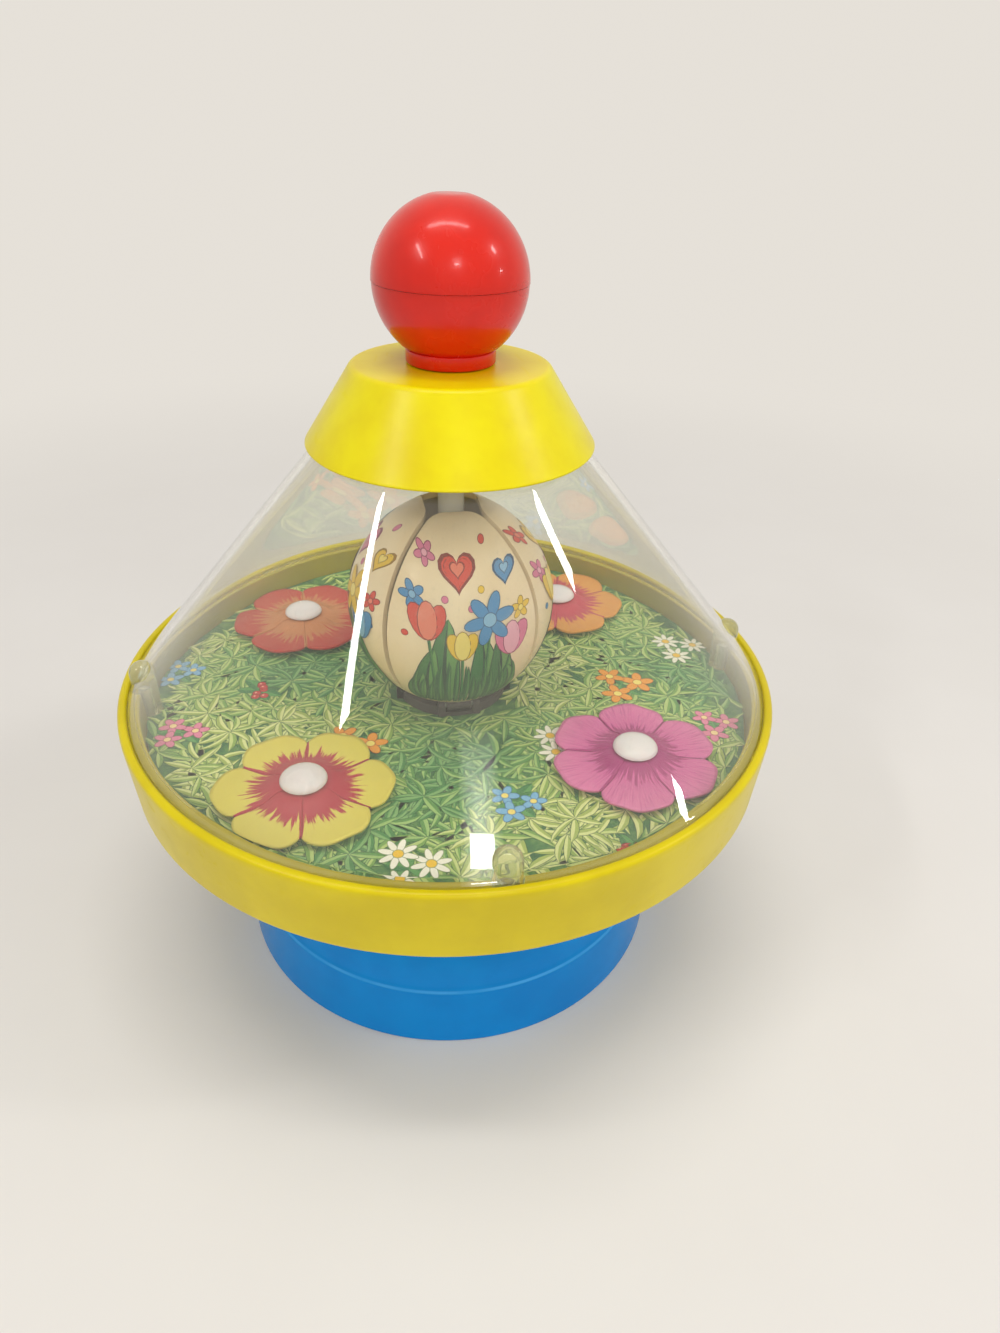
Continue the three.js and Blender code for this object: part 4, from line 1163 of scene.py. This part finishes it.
def make_petals(material, ink, hinge_material):
    sides = (-pocket_beside, pocket_beside)
    pockets = [boxed(pocket_size, (x, -hinge_radius, hinge_z - pocket_drop)) for x in sides]
    hinged = joined(knuckle_shape(), toe_shape())
    for i in range(petal_count):
        angle = i * pi / 2
        body = f"petal_{i + 1}"
        nodes = [f"egg_petal_{i + 1}"]
        piece = add_piece(
            f"egg_quarter_{i + 1}", egg_petal_shape(), material, body, nodes, pockets
        )
        piece.data.transform(Matrix.Rotation(angle, 4, "Z"))
        bevel = piece.modifiers.new("edge", "BEVEL")
        bevel.width = petal_edge * metre_per_mm
        bevel.segments = 2
        bevel.limit_method = "ANGLE"
        bevel.angle_limit = radians(50)
        shape = placed(hinged, angle=angle)
        add_piece(f"egg_hinge_{i + 1}", shape, hinge_material, body, ())
        points, faces, colors = egg_print(i).on(egg_spot, egg_layer_step)
        art = make_object(f"egg_print_{i + 1}", *placed((points, faces), angle=angle), colors)
        dress(art, ink, body, ())


def along_hinge(outline, start, end):
    """A prism along the hinge line at -Y, whose outline is measured from that line."""
    points = [(x, -hinge_radius + across, hinge_z + up) for x in (start, end) for across, up in outline]
    return points, prism_faces(outline)


def knuckle_shape():
    """The tube about the hinge pin."""
    points, faces = drum(knuckle_radius, -knuckle_half, knuckle_half, knuckle_segments, inner=pin_bore)
    return [(z, -hinge_radius + x, hinge_z + y) for x, y, z in points], faces


def toe_shape():
    """The toe that points inward and a little down from the hinge."""
    tip = arc(toe_reach, 0, toe_radius, toe_radius, -pi / 2, pi / 2, 6)
    outline = [(toe_start, -toe_radius), *tip, (toe_start, toe_radius)]
    return along_hinge([turn(*spot, -toe_slope) for spot in outline], -toe_half, toe_half)


def ear_shape(x):
    """A hinge ear: upright sides with a round head about the hinge line."""
    head = arc(0, 0, ear_radius, ear_radius, 0, pi, 10)
    return along_hinge([(-ear_radius, -ear_foot), (ear_radius, -ear_foot), *head], x - ear_half, x + ear_half)


def egg_spot(x, z, lift):
    """The place on the egg's front at a distance x beside the middle and at height z."""
    radius = egg_radius_at(z)
    x = max(-radius, min(radius, x))
    y = -sqrt(max(0, radius * radius - x * x))
    tall = (egg_wide - egg_foot) if z < egg_wide else (egg_top - egg_wide)
    outward = Vector((x / egg_radius, y / egg_radius, (z - egg_wide) / tall)).normalized()
    return (x + outward.x * lift, y + outward.y * lift, z + outward.z * lift)


# Prints: flat shapes in two coordinates, laid on a surface in thin layers


class Print:
    base_lift = 0.05
    layer_step = 0.0018
    wide = 1.5

    def __init__(self):
        self.points = []
        self.faces = []
        self.colors = []
        self.layer = 0

    def add(self, points, faces, colors):
        """Adds faces on the present layer and goes on to the next one.

        colors is one colour, or one for each face.
        """
        start = len(self.points)
        self.points.extend([(x, y, self.layer) for x, y in points])
        self.faces.extend([[i + start for i in face] for face in faces])
        self.colors.extend(colors if isinstance(colors, list) else [colors] * len(faces))
        self.layer += 1

    def on(self, spot, step=layer_step):
        """Points in space, faces and colours, where spot maps two coordinates and a lift."""
        placed_points = [spot(x, y, self.base_lift + step * k) for x, y, k in self.points]
        return placed_points, self.faces, self.colors

    def blade(self, line, widths, color, other=None):
        """A strip along a line, with its half width at each point. Its two sides may differ in colour."""
        shares = (1, 0.5, 0, -0.5, -1) if max(widths) > self.wide else (1, 0, -1)
        points = []
        count = len(line)
        for i, (x, y) in enumerate(line):
            before = line[max(0, i - 1)]
            after = line[min(count - 1, i + 1)]
            dx = after[0] - before[0]
            dy = after[1] - before[1]
            length = hypot(dx, dy) or 1
            nx = -dy / length * widths[i]
            ny = dx / length * widths[i]
            points += [(x + nx * share, y + ny * share) for share in shares]
        half = len(shares) // 2
        row = [color] * half + [other or color] * half
        self.add(points, grid_faces(count - 1, 2 * half), row * (count - 1))

    def leaf(self, x, y, heading, length, width, bend, colors, outline, steps, rib=False):
        """A pointed leaf with a dark outline, a light and a darker side, and perhaps a rib."""
        dark, fill, light = colors
        line = []
        swell = []
        for i in range(steps + 1):
            t = i / steps
            angle = heading + bend * t
            line.append((x + length * t * cos(angle), y + length * t * sin(angle)))
            swell.append(sin(pi * min(1, t * 0.92 + 0.06)) ** 0.8 if i < steps else 0)
        rims = [outline] * steps + [outline * 0.3]
        self.blade(line, [width * s + rim for s, rim in zip(swell, rims)], dark)
        self.blade(line, [width * s for s in swell], fill, light)
        if rib:
            self.blade(line, [width * 0.13 * sin(pi * i / steps) for i in range(steps + 1)], dark)

    def blob(self, x, y, outline, color):
        """A filled shape round a point. outline gives (x, y) offsets in order."""
        count = len(outline)
        points = [(x, y)]
        for share in (0.35, 0.7, 1):
            points += [(x + dx * share, y + dy * share) for dx, dy in outline]
        faces = []
        for i in range(count):
            j = (i + 1) % count
            faces.append([0, 1 + i, 1 + j])
            for a in (1, 1 + count):
                faces.append([a + i, a + count + i, a + count + j, a + j])
        self.add(points, faces, color)

    def spot(self, x, y, radius, color, edge=None, edge_width=0.2):
        if edge is not None:
            self.blob(x, y, circle(radius + edge_width), edge)
        self.blob(x, y, circle(radius), color)

    def daisy(self, x, y, radius, petals, color, edge, heart, turn_by=0):
        for i in range(petals):
            angle = turn_by + i * 2 * pi / petals
            px = x + radius * 0.56 * cos(angle)
            py = y + radius * 0.56 * sin(angle)
            width = min(radius * 0.3, radius * 1.35 / petals)
            for grow, tint in ((0.2, edge), (0, color)):
                self.blob(px, py, ellipse(radius * 0.46 + grow, width + grow, angle), tint)
        self.spot(x, y, radius * 0.26, heart, edge)

    def heart(self, x, y, size, color, edge):
        for grow, tint in ((1.12, edge), (0.92, color)):
            self.blob(x, y, heart_outline(size * grow), tint)

    def tulip(self, x, y, size, color, light, edge):
        """A cup of three petals, seen from the side."""
        for lean, tint in ((-0.42, color), (0.42, color), (0, light)):
            tip = pi / 2 - lean
            for grow, paint in ((0.22, edge), (0, tint)):
                cx = x + size * 0.55 * cos(tip)
                cy = y + size * 0.55 * sin(tip)
                self.blob(cx, cy, ellipse(size * 0.62 + grow, size * 0.3 + grow, tip), paint)


def circle(radius, count=14):
    return ellipse(radius, radius, 0, count)


def ellipse(long, short, angle, count=14):
    outline = []
    for i in range(count):
        a = 2 * pi * i / count
        outline.append(turn(long * cos(a), short * sin(a), angle))
    return outline


def heart_outline(size, count=22):
    outline = []
    for i in range(count):
        a = 2 * pi * i / count
        x = 16 * sin(a) ** 3
        y = 13 * cos(a) - 5 * cos(2 * a) - 2 * cos(3 * a) - cos(4 * a)
        outline.append((x / 16 * size, y / 16 * size))
    return outline


# Outline, darker and lighter side of a blade of grass, from deep green to pale
leaf_dark = srgb("2A5A36")
leaf_sets = [
    (leaf_dark, srgb("4F8A50"), srgb("83AE70")),
    (leaf_dark, srgb("639652"), srgb("A0C078")),
    (leaf_dark, srgb("7DA554"), srgb("B9CC80")),
    (leaf_dark, srgb("94B05A"), srgb("CBD68C")),
    (leaf_dark, srgb("A8B862"), srgb("DADE9A")),
]
meadow_inner = ring_radius + 1.5
meadow_outer = pan_inner_radius - 1.4
tuft_count = 590
tuft_levels = 44
most_blades = 10
blade_length = (7.5, 12.5)
blade_half_width = (0.75, 1.2)
blade_bend = 0.7
blade_outline = 0.17
blade_steps = 4


def meadow_print():
    """Tufts of grass all over the disc, with a few small blossoms and berries between them."""
    art = Print()
    dice = random.Random(11)
    for index in range(tuft_count):
        radius = sqrt(dice.uniform(meadow_inner ** 2, meadow_outer ** 2))
        angle = dice.uniform(0, 2 * pi)
        x = radius * cos(angle)
        y = radius * sin(angle)
        level = (index % tuft_levels) * 2
        count = dice.randint(7, most_blades)
        heading = dice.uniform(0, 2 * pi)
        warmth = 2.2 + 1.3 * sin(x / 17 + 1.3 * sin(y / 23)) + 0.9 * cos(y / 13 - x / 31)
        for i in range(count):
            length = dice.uniform(*blade_length)
            angle = heading + i * 2 * pi / count + dice.uniform(-0.25, 0.25)
            tip = hypot(x + length * cos(angle), y + length * sin(angle))
            if tip > meadow_outer + 0.8 or tip < meadow_inner - 1:
                continue
            colors = leaf_sets[max(0, min(4, round(warmth + dice.uniform(-1, 1))))]
            art.layer = level + 2 * i
            width = dice.uniform(*blade_half_width)
            bend = dice.uniform(-blade_bend, blade_bend)
            art.leaf(x, y, angle, length, width, bend, colors, blade_outline, blade_steps)
    top = (tuft_levels + most_blades) * 2
    for x, y, kind in meadow_spots:
        art.layer = top
        small_plant(art, x, y, kind, dice)
    return art


# Places of the small plants on the disc, and what grows there
meadow_spots = [
    (10, -60, "blue"),
    (-22, -80, "white"),
    (36, -84, "berry"),
    (-84, -14, "pink"),
    (-62, 6, "berry"),
    (84, 12, "white"),
    (56, -8, "orange"),
    (8, 58, "pink"),
    (-12, 82, "orange"),
    (42, 84, "blue"),
    (-88, 20, "blue"),
    (30, -36, "white"),
    (-34, -28, "orange"),
    (78, -34, "pink"),
]

# Petals, their outline and the heart of each kind of small blossom, and the leaves of all
plant_colors = {
    "blue": ("7FB6DC", "2F6EA8", "F2DC7A"),
    "white": ("F4F0E2", "8C9A6A", "F0C338"),
    "pink": ("E587A8", "A53A66", "F6D9A0"),
    "orange": ("F0A23C", "B5571F", "F7E27C"),
}
plant_leaf = (srgb("2A5E3A"), srgb("3E7F4A"), srgb("5E9C58"))


def small_plant(art, x, y, kind, dice):
    """Five leaves with three blossoms or seven berries on them."""
    for i in range(5):
        angle = dice.uniform(0, 2 * pi)
        bend = dice.uniform(-0.4, 0.4)
        art.leaf(x, y, angle, dice.uniform(6, 9), 1.7, bend, plant_leaf, 0.16, 6)
    if kind == "berry":
        for i in range(7):
            angle = dice.uniform(0, 2 * pi)
            reach = dice.uniform(1.4, 4.6)
            bx = x + reach * cos(angle)
            by = y + reach * sin(angle)
            art.spot(bx, by, 1.25, srgb("C93A3A"), srgb("6E1C22"))
            art.spot(bx - 0.3, by + 0.35, 0.35, srgb("F3B9A8"))
        return
    color, edge, heart = [srgb(code) for code in plant_colors[kind]]
    large = kind in ("orange", "white")
    for i in range(3):
        angle = i * 2 * pi / 3 + dice.uniform(-0.3, 0.3)
        reach = 5.8 if large else 4.4
        size = dice.uniform(4.8, 5.6) if large else dice.uniform(3.6, 4.4)
        petals = 8 if kind == "white" else 5
        bx = x + reach * cos(angle)
        by = y + reach * sin(angle)
        art.daisy(bx, by, size, petals, color, edge, heart, angle)


# Petals, their light side and their outline, and the leaves, on the egg
egg_colors = {
    "red": (srgb("E24A3B"), srgb("F0836B"), srgb("8E2423")),
    "yellow": (srgb("F3CB3A"), srgb("F9E27E"), srgb("A67A1C")),
    "blue": (srgb("4E94CB"), srgb("8DBEE0"), srgb("24517F")),
    "pink": (srgb("E57FA6"), srgb("F3B3C8"), srgb("9C3A62")),
}
egg_leaves = [
    (srgb("1F4A38"), srgb("3F7F4C"), srgb("6FA45E")),
    (srgb("1F4A38"), srgb("2F6A46"), srgb("5B9456")),
]

# Broad leaves at the foot of a petal: place beside the middle, length, half width and lean
egg_blades = [
    (-5.4, 33, 4.2, 0.2),
    (4.2, 28, 3.9, -0.26),
    (-10, 24, 3.2, 0.42),
    (10.4, 26, 3.4, -0.3),
    (-14, 15, 2.4, 0.5),
    (14, 16, 2.4, -0.46),
]

# Stems with a flower: place beside the middle, height and kind
egg_stems = [(-10.6, 29, "tulip"), (-1.2, 22.5, "bell"), (6.6, 31, "daisy"), (13.2, 22, "tulip")]

# Motifs above them: place, height, kind, size and which colour is taken
egg_motifs = [
    (-1.6, 44.5, "heart", 4.7, 0),
    (-14.2, 38.5, "daisy", 3.4, 2),
    (11.8, 43.5, "heart", 3.2, 2),
    (16.2, 33, "daisy", 2.9, 1),
    (-10, 48, "daisy", 2.7, 3),
]
egg_dots = [(-16.8, 28), (1.6, 35.5), (-5.6, 38), (6, 50.5), (17.6, 26), (4.6, 40)]
egg_print_floor = egg_foot + 4.6
egg_grass_count = 22
egg_grass_reach = 14


def egg_print(index):
    """Tulips on tall leaves at the foot of a petal, with hearts and daisies above."""
    art = Print()
    dice = random.Random(23 + index)
    names = list(egg_colors)
    floor = egg_print_floor
    reach = egg_grass_reach
    for i in range(egg_grass_count):
        x = -reach + 2 * reach * i / (egg_grass_count - 1) + dice.uniform(-0.5, 0.5)
        lean = -0.5 * x / reach + dice.uniform(-0.22, 0.22)
        length = dice.uniform(12, 26) * (1 - abs(x) / 46)
        art.layer = 20 + (i % 3) * 2
        art.leaf(x * 0.78, floor, pi / 2 + lean, length, 0.62, -lean * 0.8, egg_leaves[1], 0.16, 10)
    for i, (x, length, width, lean) in enumerate(egg_blades):
        art.layer = 2 + 3 * i
        heading = pi / 2 + lean
        art.leaf(x * 0.8, floor, heading, length, width, -lean * 0.9, egg_leaves[0], 0.3, 14, rib=True)
    for i, (x, tall, kind) in enumerate(egg_stems):
        color, light, edge = egg_colors[names[(i + index) % 4]]
        art.layer = 26
        line = [(x * (0.62 + 0.38 * (t / 6) ** 0.7), floor + tall * t / 6) for t in range(7)]
        art.blade(line, [0.42] * 7, srgb("2F6A46"), srgb("4F8C50"))
        if kind == "daisy":
            art.daisy(x, floor + tall + 1, 7.2, 6, color, edge, light, 0.2)
        else:
            art.tulip(x, floor + tall - 1.5, 8.4 if kind == "tulip" else 7.2, color, light, edge)
    for x, up, kind, size, shift in egg_motifs:
        color, light, edge = egg_colors[names[(shift + index) % 4]]
        art.layer = 2
        if kind == "heart":
            art.heart(x, floor + up, size, color, edge)
            art.heart(x, floor + up + size * 0.1, size * 0.42, light, edge)
        else:
            art.daisy(x, floor + up, size, 5, color, edge, light, 0.3 * shift)
    for x, up in egg_dots:
        color, light, edge = egg_colors[dice.choice(names)]
        art.layer = 1
        art.spot(x, floor + up, 0.85, color, edge, 0.15)
    return art


def make_meadow(ink, base):
    dress_node("meadow_disc", base)
    points, faces, colors = meadow_print().on(lambda x, y, lift: (x, y, disc_top + lift))
    holes = []
    for i in range(boss_count):
        angle = i * pi / 2
        holes.append((*turn(0, -boss_circle, angle), boss_radius + boss_clearing))
        holes.append((*turn(0, -flower_circle, angle + pi / 4), flower_clearing))
    kept = []
    kept_colors = []
    for face, color in zip(faces, colors):
        x, y, _ = points[face[0]]
        if all(hypot(x - hole_x, y - hole_y) > radius for hole_x, hole_y, radius in holes):
            kept.append(face)
            kept_colors.append(color)
    piece = make_object("meadow_art", points, kept, kept_colors)
    dress(piece, ink, "spinner", ())


# Egg's ring


def make_ring(material):
    bottom = disc_top + ring_gap
    top = bottom + ring_height
    outline = [
        (ring_inner_radius, bottom, 0.2),
        (ring_radius, bottom, 0.3),
        (ring_radius, top, 0.4),
        (ring_inner_radius, top, 0.3),
    ]
    shape = revolved(fillet(outline, 3), ring_segments)
    place = (0, -hinge_radius, bottom + ring_notch_floor + ring_notch[2] / 2)
    cuts = ring_of(boxed(ring_notch, place), petal_count)
    add_piece("carrier_ring", shape, material, "spinner", (), cuts)
    pair = joined(ear_shape(-ear_beside), ear_shape(ear_beside))
    ears = joined(*ring_of(pair, petal_count))
    add_piece("carrier_ears", ears, material, "spinner", ())


# Flowers


def petal_reach(angle):
    """How far a petal reaches from the flower's middle at an angle beside its own line."""
    half_length = flower_petal_length / 2
    half_width = flower_petal_width / 2
    centre = flower_radius - half_length
    a = (sin(angle) / half_width) ** 2 + (cos(angle) / half_length) ** 2
    b = -2 * centre * cos(angle) / half_length ** 2
    c = (centre / half_length) ** 2 - 1
    return (-b + sqrt(b * b - 4 * a * c)) / (2 * a)


def flower_shape(turn_share):
    """Six broad petals that meet in thin seams. Gives points, faces, and three numbers for each point."""
    points = []
    faces = []
    marks = []
    rings = 16
    columns = 26
    pitch = 2 * pi / flower_petals
    for k in range(flower_petals):
        heading = -pi / 2 + (k + turn_share) * pitch
        start = len(points)
        for i in range(rings + 1):
            for j in range(columns + 1):
                side = 2 * j / columns - 1
                angle = side * pitch / 2 * petal_overlap
                wave = 1 - petal_wave * (1 + sin(7 * side + 2.1 * k)) * (i / rings) ** 3
                reach = petal_reach(angle) * wave - flower_notch * abs(side) ** 6
                r = petal_root + (reach - petal_root) * i / rings
                out = r / flower_radius
                crown = petal_crown * (1 - side * side) * out
                curl = petal_curl * max(0, out - petal_curl_start) ** 2
                near = max(0, min(1, (petal_rise_foot - r) / petal_rise_run))
                rise = petal_rise * near * near * (3 - 2 * near)
                ripple = petal_ripple * sin(9 * side + k) * out ** 3
                z = petal_floor + crown + petal_tilt * side + curl + rise + ripple
                points.append((*turn(r, 0, heading + angle), flower_base + z))
                marks.append((out, side, heading + angle))
        faces += grid_faces(rings, columns, start, flip=True)
    return points, faces, marks


def make_flowers(materials, button):
    for i, kind in enumerate(flower_kinds):
        angle = pi / 4 + i * pi / 2
        points, faces, marks = flower_shape(flower_turns[kind])
        x, y = turn(0, -flower_circle, angle)
        shape = placed(placed((points, faces), angle=angle), x, y)
        piece = make_object(f"flower_petals_{kind}", *shape)
        for name, values in zip(("span", "side", "around"), zip(*marks)):
            piece.data.attributes.new(name, "FLOAT", "POINT").data.foreach_set("value", values)
        for polygon in piece.data.polygons:
            polygon.use_smooth = True
        thick = piece.modifiers.new("thickness", "SOLIDIFY")
        thick.thickness = petal_thickness * metre_per_mm
        thick.offset = -1
        body = f"{kind}_flower"
        dress(piece, materials[kind], body, [f"flower_{kind}"])
        hub_top = flower_base + flower_hub_thickness + flower_hub_rise
        hub = [
            (flower_bore, flower_base, 0),
            (flower_hub_radius, flower_base, 0.3),
            (flower_hub_radius, hub_top, 0.5),
            (flower_bore, hub_top, 0),
        ]
        shape = placed(revolved(fillet(hub, 3), lug_segments), x, y)
        seat = add_piece(f"flower_hub_{kind}", shape, materials[kind], body, ())
        span = seat.data.attributes.new("span", "FLOAT", "POINT")
        span.data.foreach_set("value", [0.2] * len(seat.data.vertices))
        make_button(kind, x, y, button)


def make_button(kind, x, y, material):
    pin_bottom = plate_top - button_pin_depth
    profile = [
        (0, pin_bottom),
        (button_pin_radius, pin_bottom),
        (button_pin_radius, button_bottom),
        (button_radius - button_edge, button_bottom),
        *arc(0, button_bottom + button_edge, button_radius, button_height - button_edge, 0, pi / 2, 12),
    ]
    shape = placed(revolved(profile, small_segments, closed=False), x, y)
    nodes = [f"flower_pin_{kind}"]
    add_piece(f"flower_button_{kind}", shape, material, "spinner", nodes)


# Tube and the nodes that stay


def make_tube(material):
    outline = [
        (tube_bore, low(tube_box), 0.1),
        (tube_radius, low(tube_box), 0.15),
        (tube_radius, high(tube_box), 0.15),
        (tube_bore, high(tube_box), 0.1),
    ]
    shape = revolved(fillet(outline, 2), small_segments)
    add_piece("rod_tube", shape, material, "spinner", ["guide_tube"])


def make_spring(material):
    """The closing spring, made as a coil of one fixed length. In the toy it shortens towards its upper end as
    the sleeve under it rises.
    """
    bottom = low(spring_box) + spring_wire
    top = high(spring_box) - spring_wire
    mean = high(spring_box, 0) - spring_wire
    turn_steps = 48
    sides = 10
    steps = spring_turns * turn_steps
    points = []
    for i in range(steps + 1):
        angle = 2 * pi * i / turn_steps
        middle = bottom + (top - bottom) * i / steps
        for j in range(sides):
            around = 2 * pi * j / sides
            radius = mean + spring_wire * cos(around)
            height = middle - spring_wire * sin(around)
            points.append((radius * cos(angle), radius * sin(angle), height))
    faces = [list(range(sides)), list(range((steps + 1) * sides - 1, steps * sides - 1, -1))]
    for i in range(steps):
        for j in range(sides):
            a = i * sides + j
            b = i * sides + (j + 1) % sides
            faces.append([a, a + sides, b + sides, b])
    shape = (points, faces)
    piece = add_piece("spring_coil", shape, material, "spinner", ["closing_spring"], angle=50)
    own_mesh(piece)


def dress_node(name, material):
    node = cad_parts[name]
    node.data.materials.clear()
    node.data.materials.append(material)


def dress_nodes(steel, dark, white):
    groups = {
        steel: ["post_screw", "post_clip", "twisted_rod"],
        dark: ["rod_guide", "clutch_ring", "drive_nut", "egg_carrier", "hub_cap"],
        white: ["centre_post", "thrust_washer", "hub_bush_lower", "hub_bush_upper", "closing_sleeve"],
    }
    groups[steel] += [f"cover_screw_{i + 1}" for i in range(boss_count)]
    groups[steel] += [f"petal_pin_{i + 1}" for i in range(petal_count)]
    for material, names in groups.items():
        for name in names:
            dress_node(name, material)


# Camera, lights and floor


def stand(piece, place, right, up, back):
    """Puts a camera or a lamp in its place, with its three axes along three directions."""
    piece.matrix_world = Matrix.Translation(place) @ Matrix((right, up, back)).transposed().to_4x4()


def make_camera():
    data = bpy.data.cameras.new("view")
    data.lens = camera_lens
    data.sensor_width = sensor_width
    data.sensor_fit = "AUTO"
    data.clip_start = 0.01
    data.clip_end = 50
    camera = linked("view", data)
    heading = -camera_heading
    ahead = Vector((sin(heading) * cos(camera_pitch), cos(heading) * cos(camera_pitch), -sin(camera_pitch)))
    right = Vector((cos(heading), -sin(heading), 0))
    up = right.cross(ahead)
    rolled_right = right * cos(camera_roll) + up * sin(camera_roll)
    rolled_up = up * cos(camera_roll) - right * sin(camera_roll)
    stand(camera, Vector(camera_place) * metre_per_mm, rolled_right, rolled_up, -ahead)
    bpy.context.scene.camera = camera


def direction(azimuth, elevation):
    """Azimuth 0 is towards -Y and 90 towards +X."""
    a = radians(azimuth)
    e = radians(elevation)
    return Vector((sin(a) * cos(e), -cos(a) * cos(e), sin(e)))


def make_lamp(name, a, b, width, watts, mirrored=True):
    """A soft lamp that reaches from one place to another and faces the middle of the part."""
    data = bpy.data.lights.new(name, "AREA")
    data.shape = "RECTANGLE"
    data.size = (b - a).length
    data.size_y = width
    data.energy = watts
    lamp = linked(name, data)
    middle = (a + b) / 2
    along = (b - a).normalized()
    back = (middle - lamp_target).normalized()
    side = back.cross(along).normalized()
    stand(lamp, middle, along, side, along.cross(side))
    lamp.visible_camera = False
    lamp.visible_glossy = mirrored
    lamp.visible_transmission = False


def lamp_ends(name):
    return [
        Vector(place) * metre_per_mm + Vector(way).normalized() * lamp_distance
        for place, way in mirrored_lamps[name][2:]
    ]


def make_lights():
    for name, (width, watts, *_) in mirrored_lamps.items():
        make_lamp(name, *lamp_ends(name), width, watts)
    a, b = lamp_ends("lamp_front")
    middle = (a + b) / 2 + glow_shift
    along = (b - a).normalized()
    for i, (width, height) in enumerate(glow_sizes):
        half = along * width / 2
        step = (middle - lamp_target).normalized() * glow_step * i
        watts = glow_strength * pi * width * height
        make_lamp(f"lamp_glow_{i + 1}", middle - half + step, middle + half + step, height, watts)
    for name, (start, end, distance, width, watts) in soft_lamps.items():
        a, b = [lamp_target + direction(*way) * distance for way in (start, end)]
        make_lamp(name, a, b, width, watts, mirrored=False)


def make_world():
    """Even light from all round. What is looked at behind the floor has the backdrop's colour."""
    paint = Paint("studio", world=True)
    lit = paint.add("ShaderNodeBackground", Color=world_color, Strength=world_strength)
    behind = paint.add("ShaderNodeBackground", Color=backdrop_color, Strength=1.0)
    shown = paint.add("ShaderNodeMixShader", [paint.seen(), lit.outputs[0], behind.outputs[0]])
    bpy.context.scene.world = paint.finish(shown.outputs[0])


def make_floor():
    """A pale floor that keeps the shadow near the object and fades into the backdrop's colour."""
    corners = [(x * floor_half, y * floor_half, 0) for x, y in ((-1, -1), (1, -1), (1, 1), (-1, 1))]
    piece = make_object("floor", corners, [[0, 1, 2, 3]])
    paint = Paint("floor_paint")
    patch = paint.noise(9, 4)
    color = paint.mix(patch, srgb("E9E5DF"), srgb("E2DDD6"))
    shader = paint.add("ShaderNodeBsdfPrincipled", Base_Color=color, Roughness=0.8, Specular_IOR_Level=0.2)
    far = paint.times(paint.between(paint.radius(), *floor_fade), paint.seen())
    plain = paint.add("ShaderNodeEmission", Color=backdrop_color, Strength=1.0)
    faded = paint.add("ShaderNodeMixShader", [far, shader.outputs[0], plain.outputs[0]])
    piece.data.materials.append(paint.finish(faded.outputs[0]))


def set_view():
    scene = bpy.context.scene
    scene.view_settings.view_transform = "Standard"
    for name, most in light_bounces.items():
        setattr(scene.cycles, name, most)
    scene.cycles.caustics_refractive = True
    scene.cycles.caustics_reflective = False


make_camera()
make_lights()
make_world()
make_floor()
set_view()

yellow = yellow_plastic()
red = red_plastic()
dark = dark_plastic()
white = white_plastic()
steel = metal("steel", srgb("B9BCC0"), 0.26)
clear = clear_plastic("clear_plastic", (0.985, 0.985, 0.945), 0.05, 1.12, 0.98)
lug_clear = clear_plastic("lug_plastic", (0.95, 0.94, 0.78), 0.06, 1.16, 0.95, 0.2, srgb("E8E5B8"))
tube_clear = clear_plastic("tube_plastic", (0.96, 0.95, 0.9), 0.1, 1.1, 0.9, 0.7, srgb("F4EFE2"))
egg_ink = printed("egg_ink", 0.28)
meadow_ink = printed("meadow_leaves", 0.38)
petal_paints = {}
for kind, (outer, inner, heart, *shares) in petal_looks.items():
    petal_paints[kind] = flower_plastic(f"petal_{kind}", srgb(outer), srgb(inner), srgb(heart), *shares)

dress_nodes(steel, dark, white)
make_foot(blue_plastic())
make_pan(pan_shaded_yellow())
make_meadow(meadow_ink, meadow_base())
make_ring(dark)
make_petals(cream_plastic(), egg_ink, dark)
make_flowers(petal_paints, white)
make_tube(tube_clear)
make_spring(steel)
make_cone(clear, lug_clear)
make_collar(yellow)
make_knob(red)
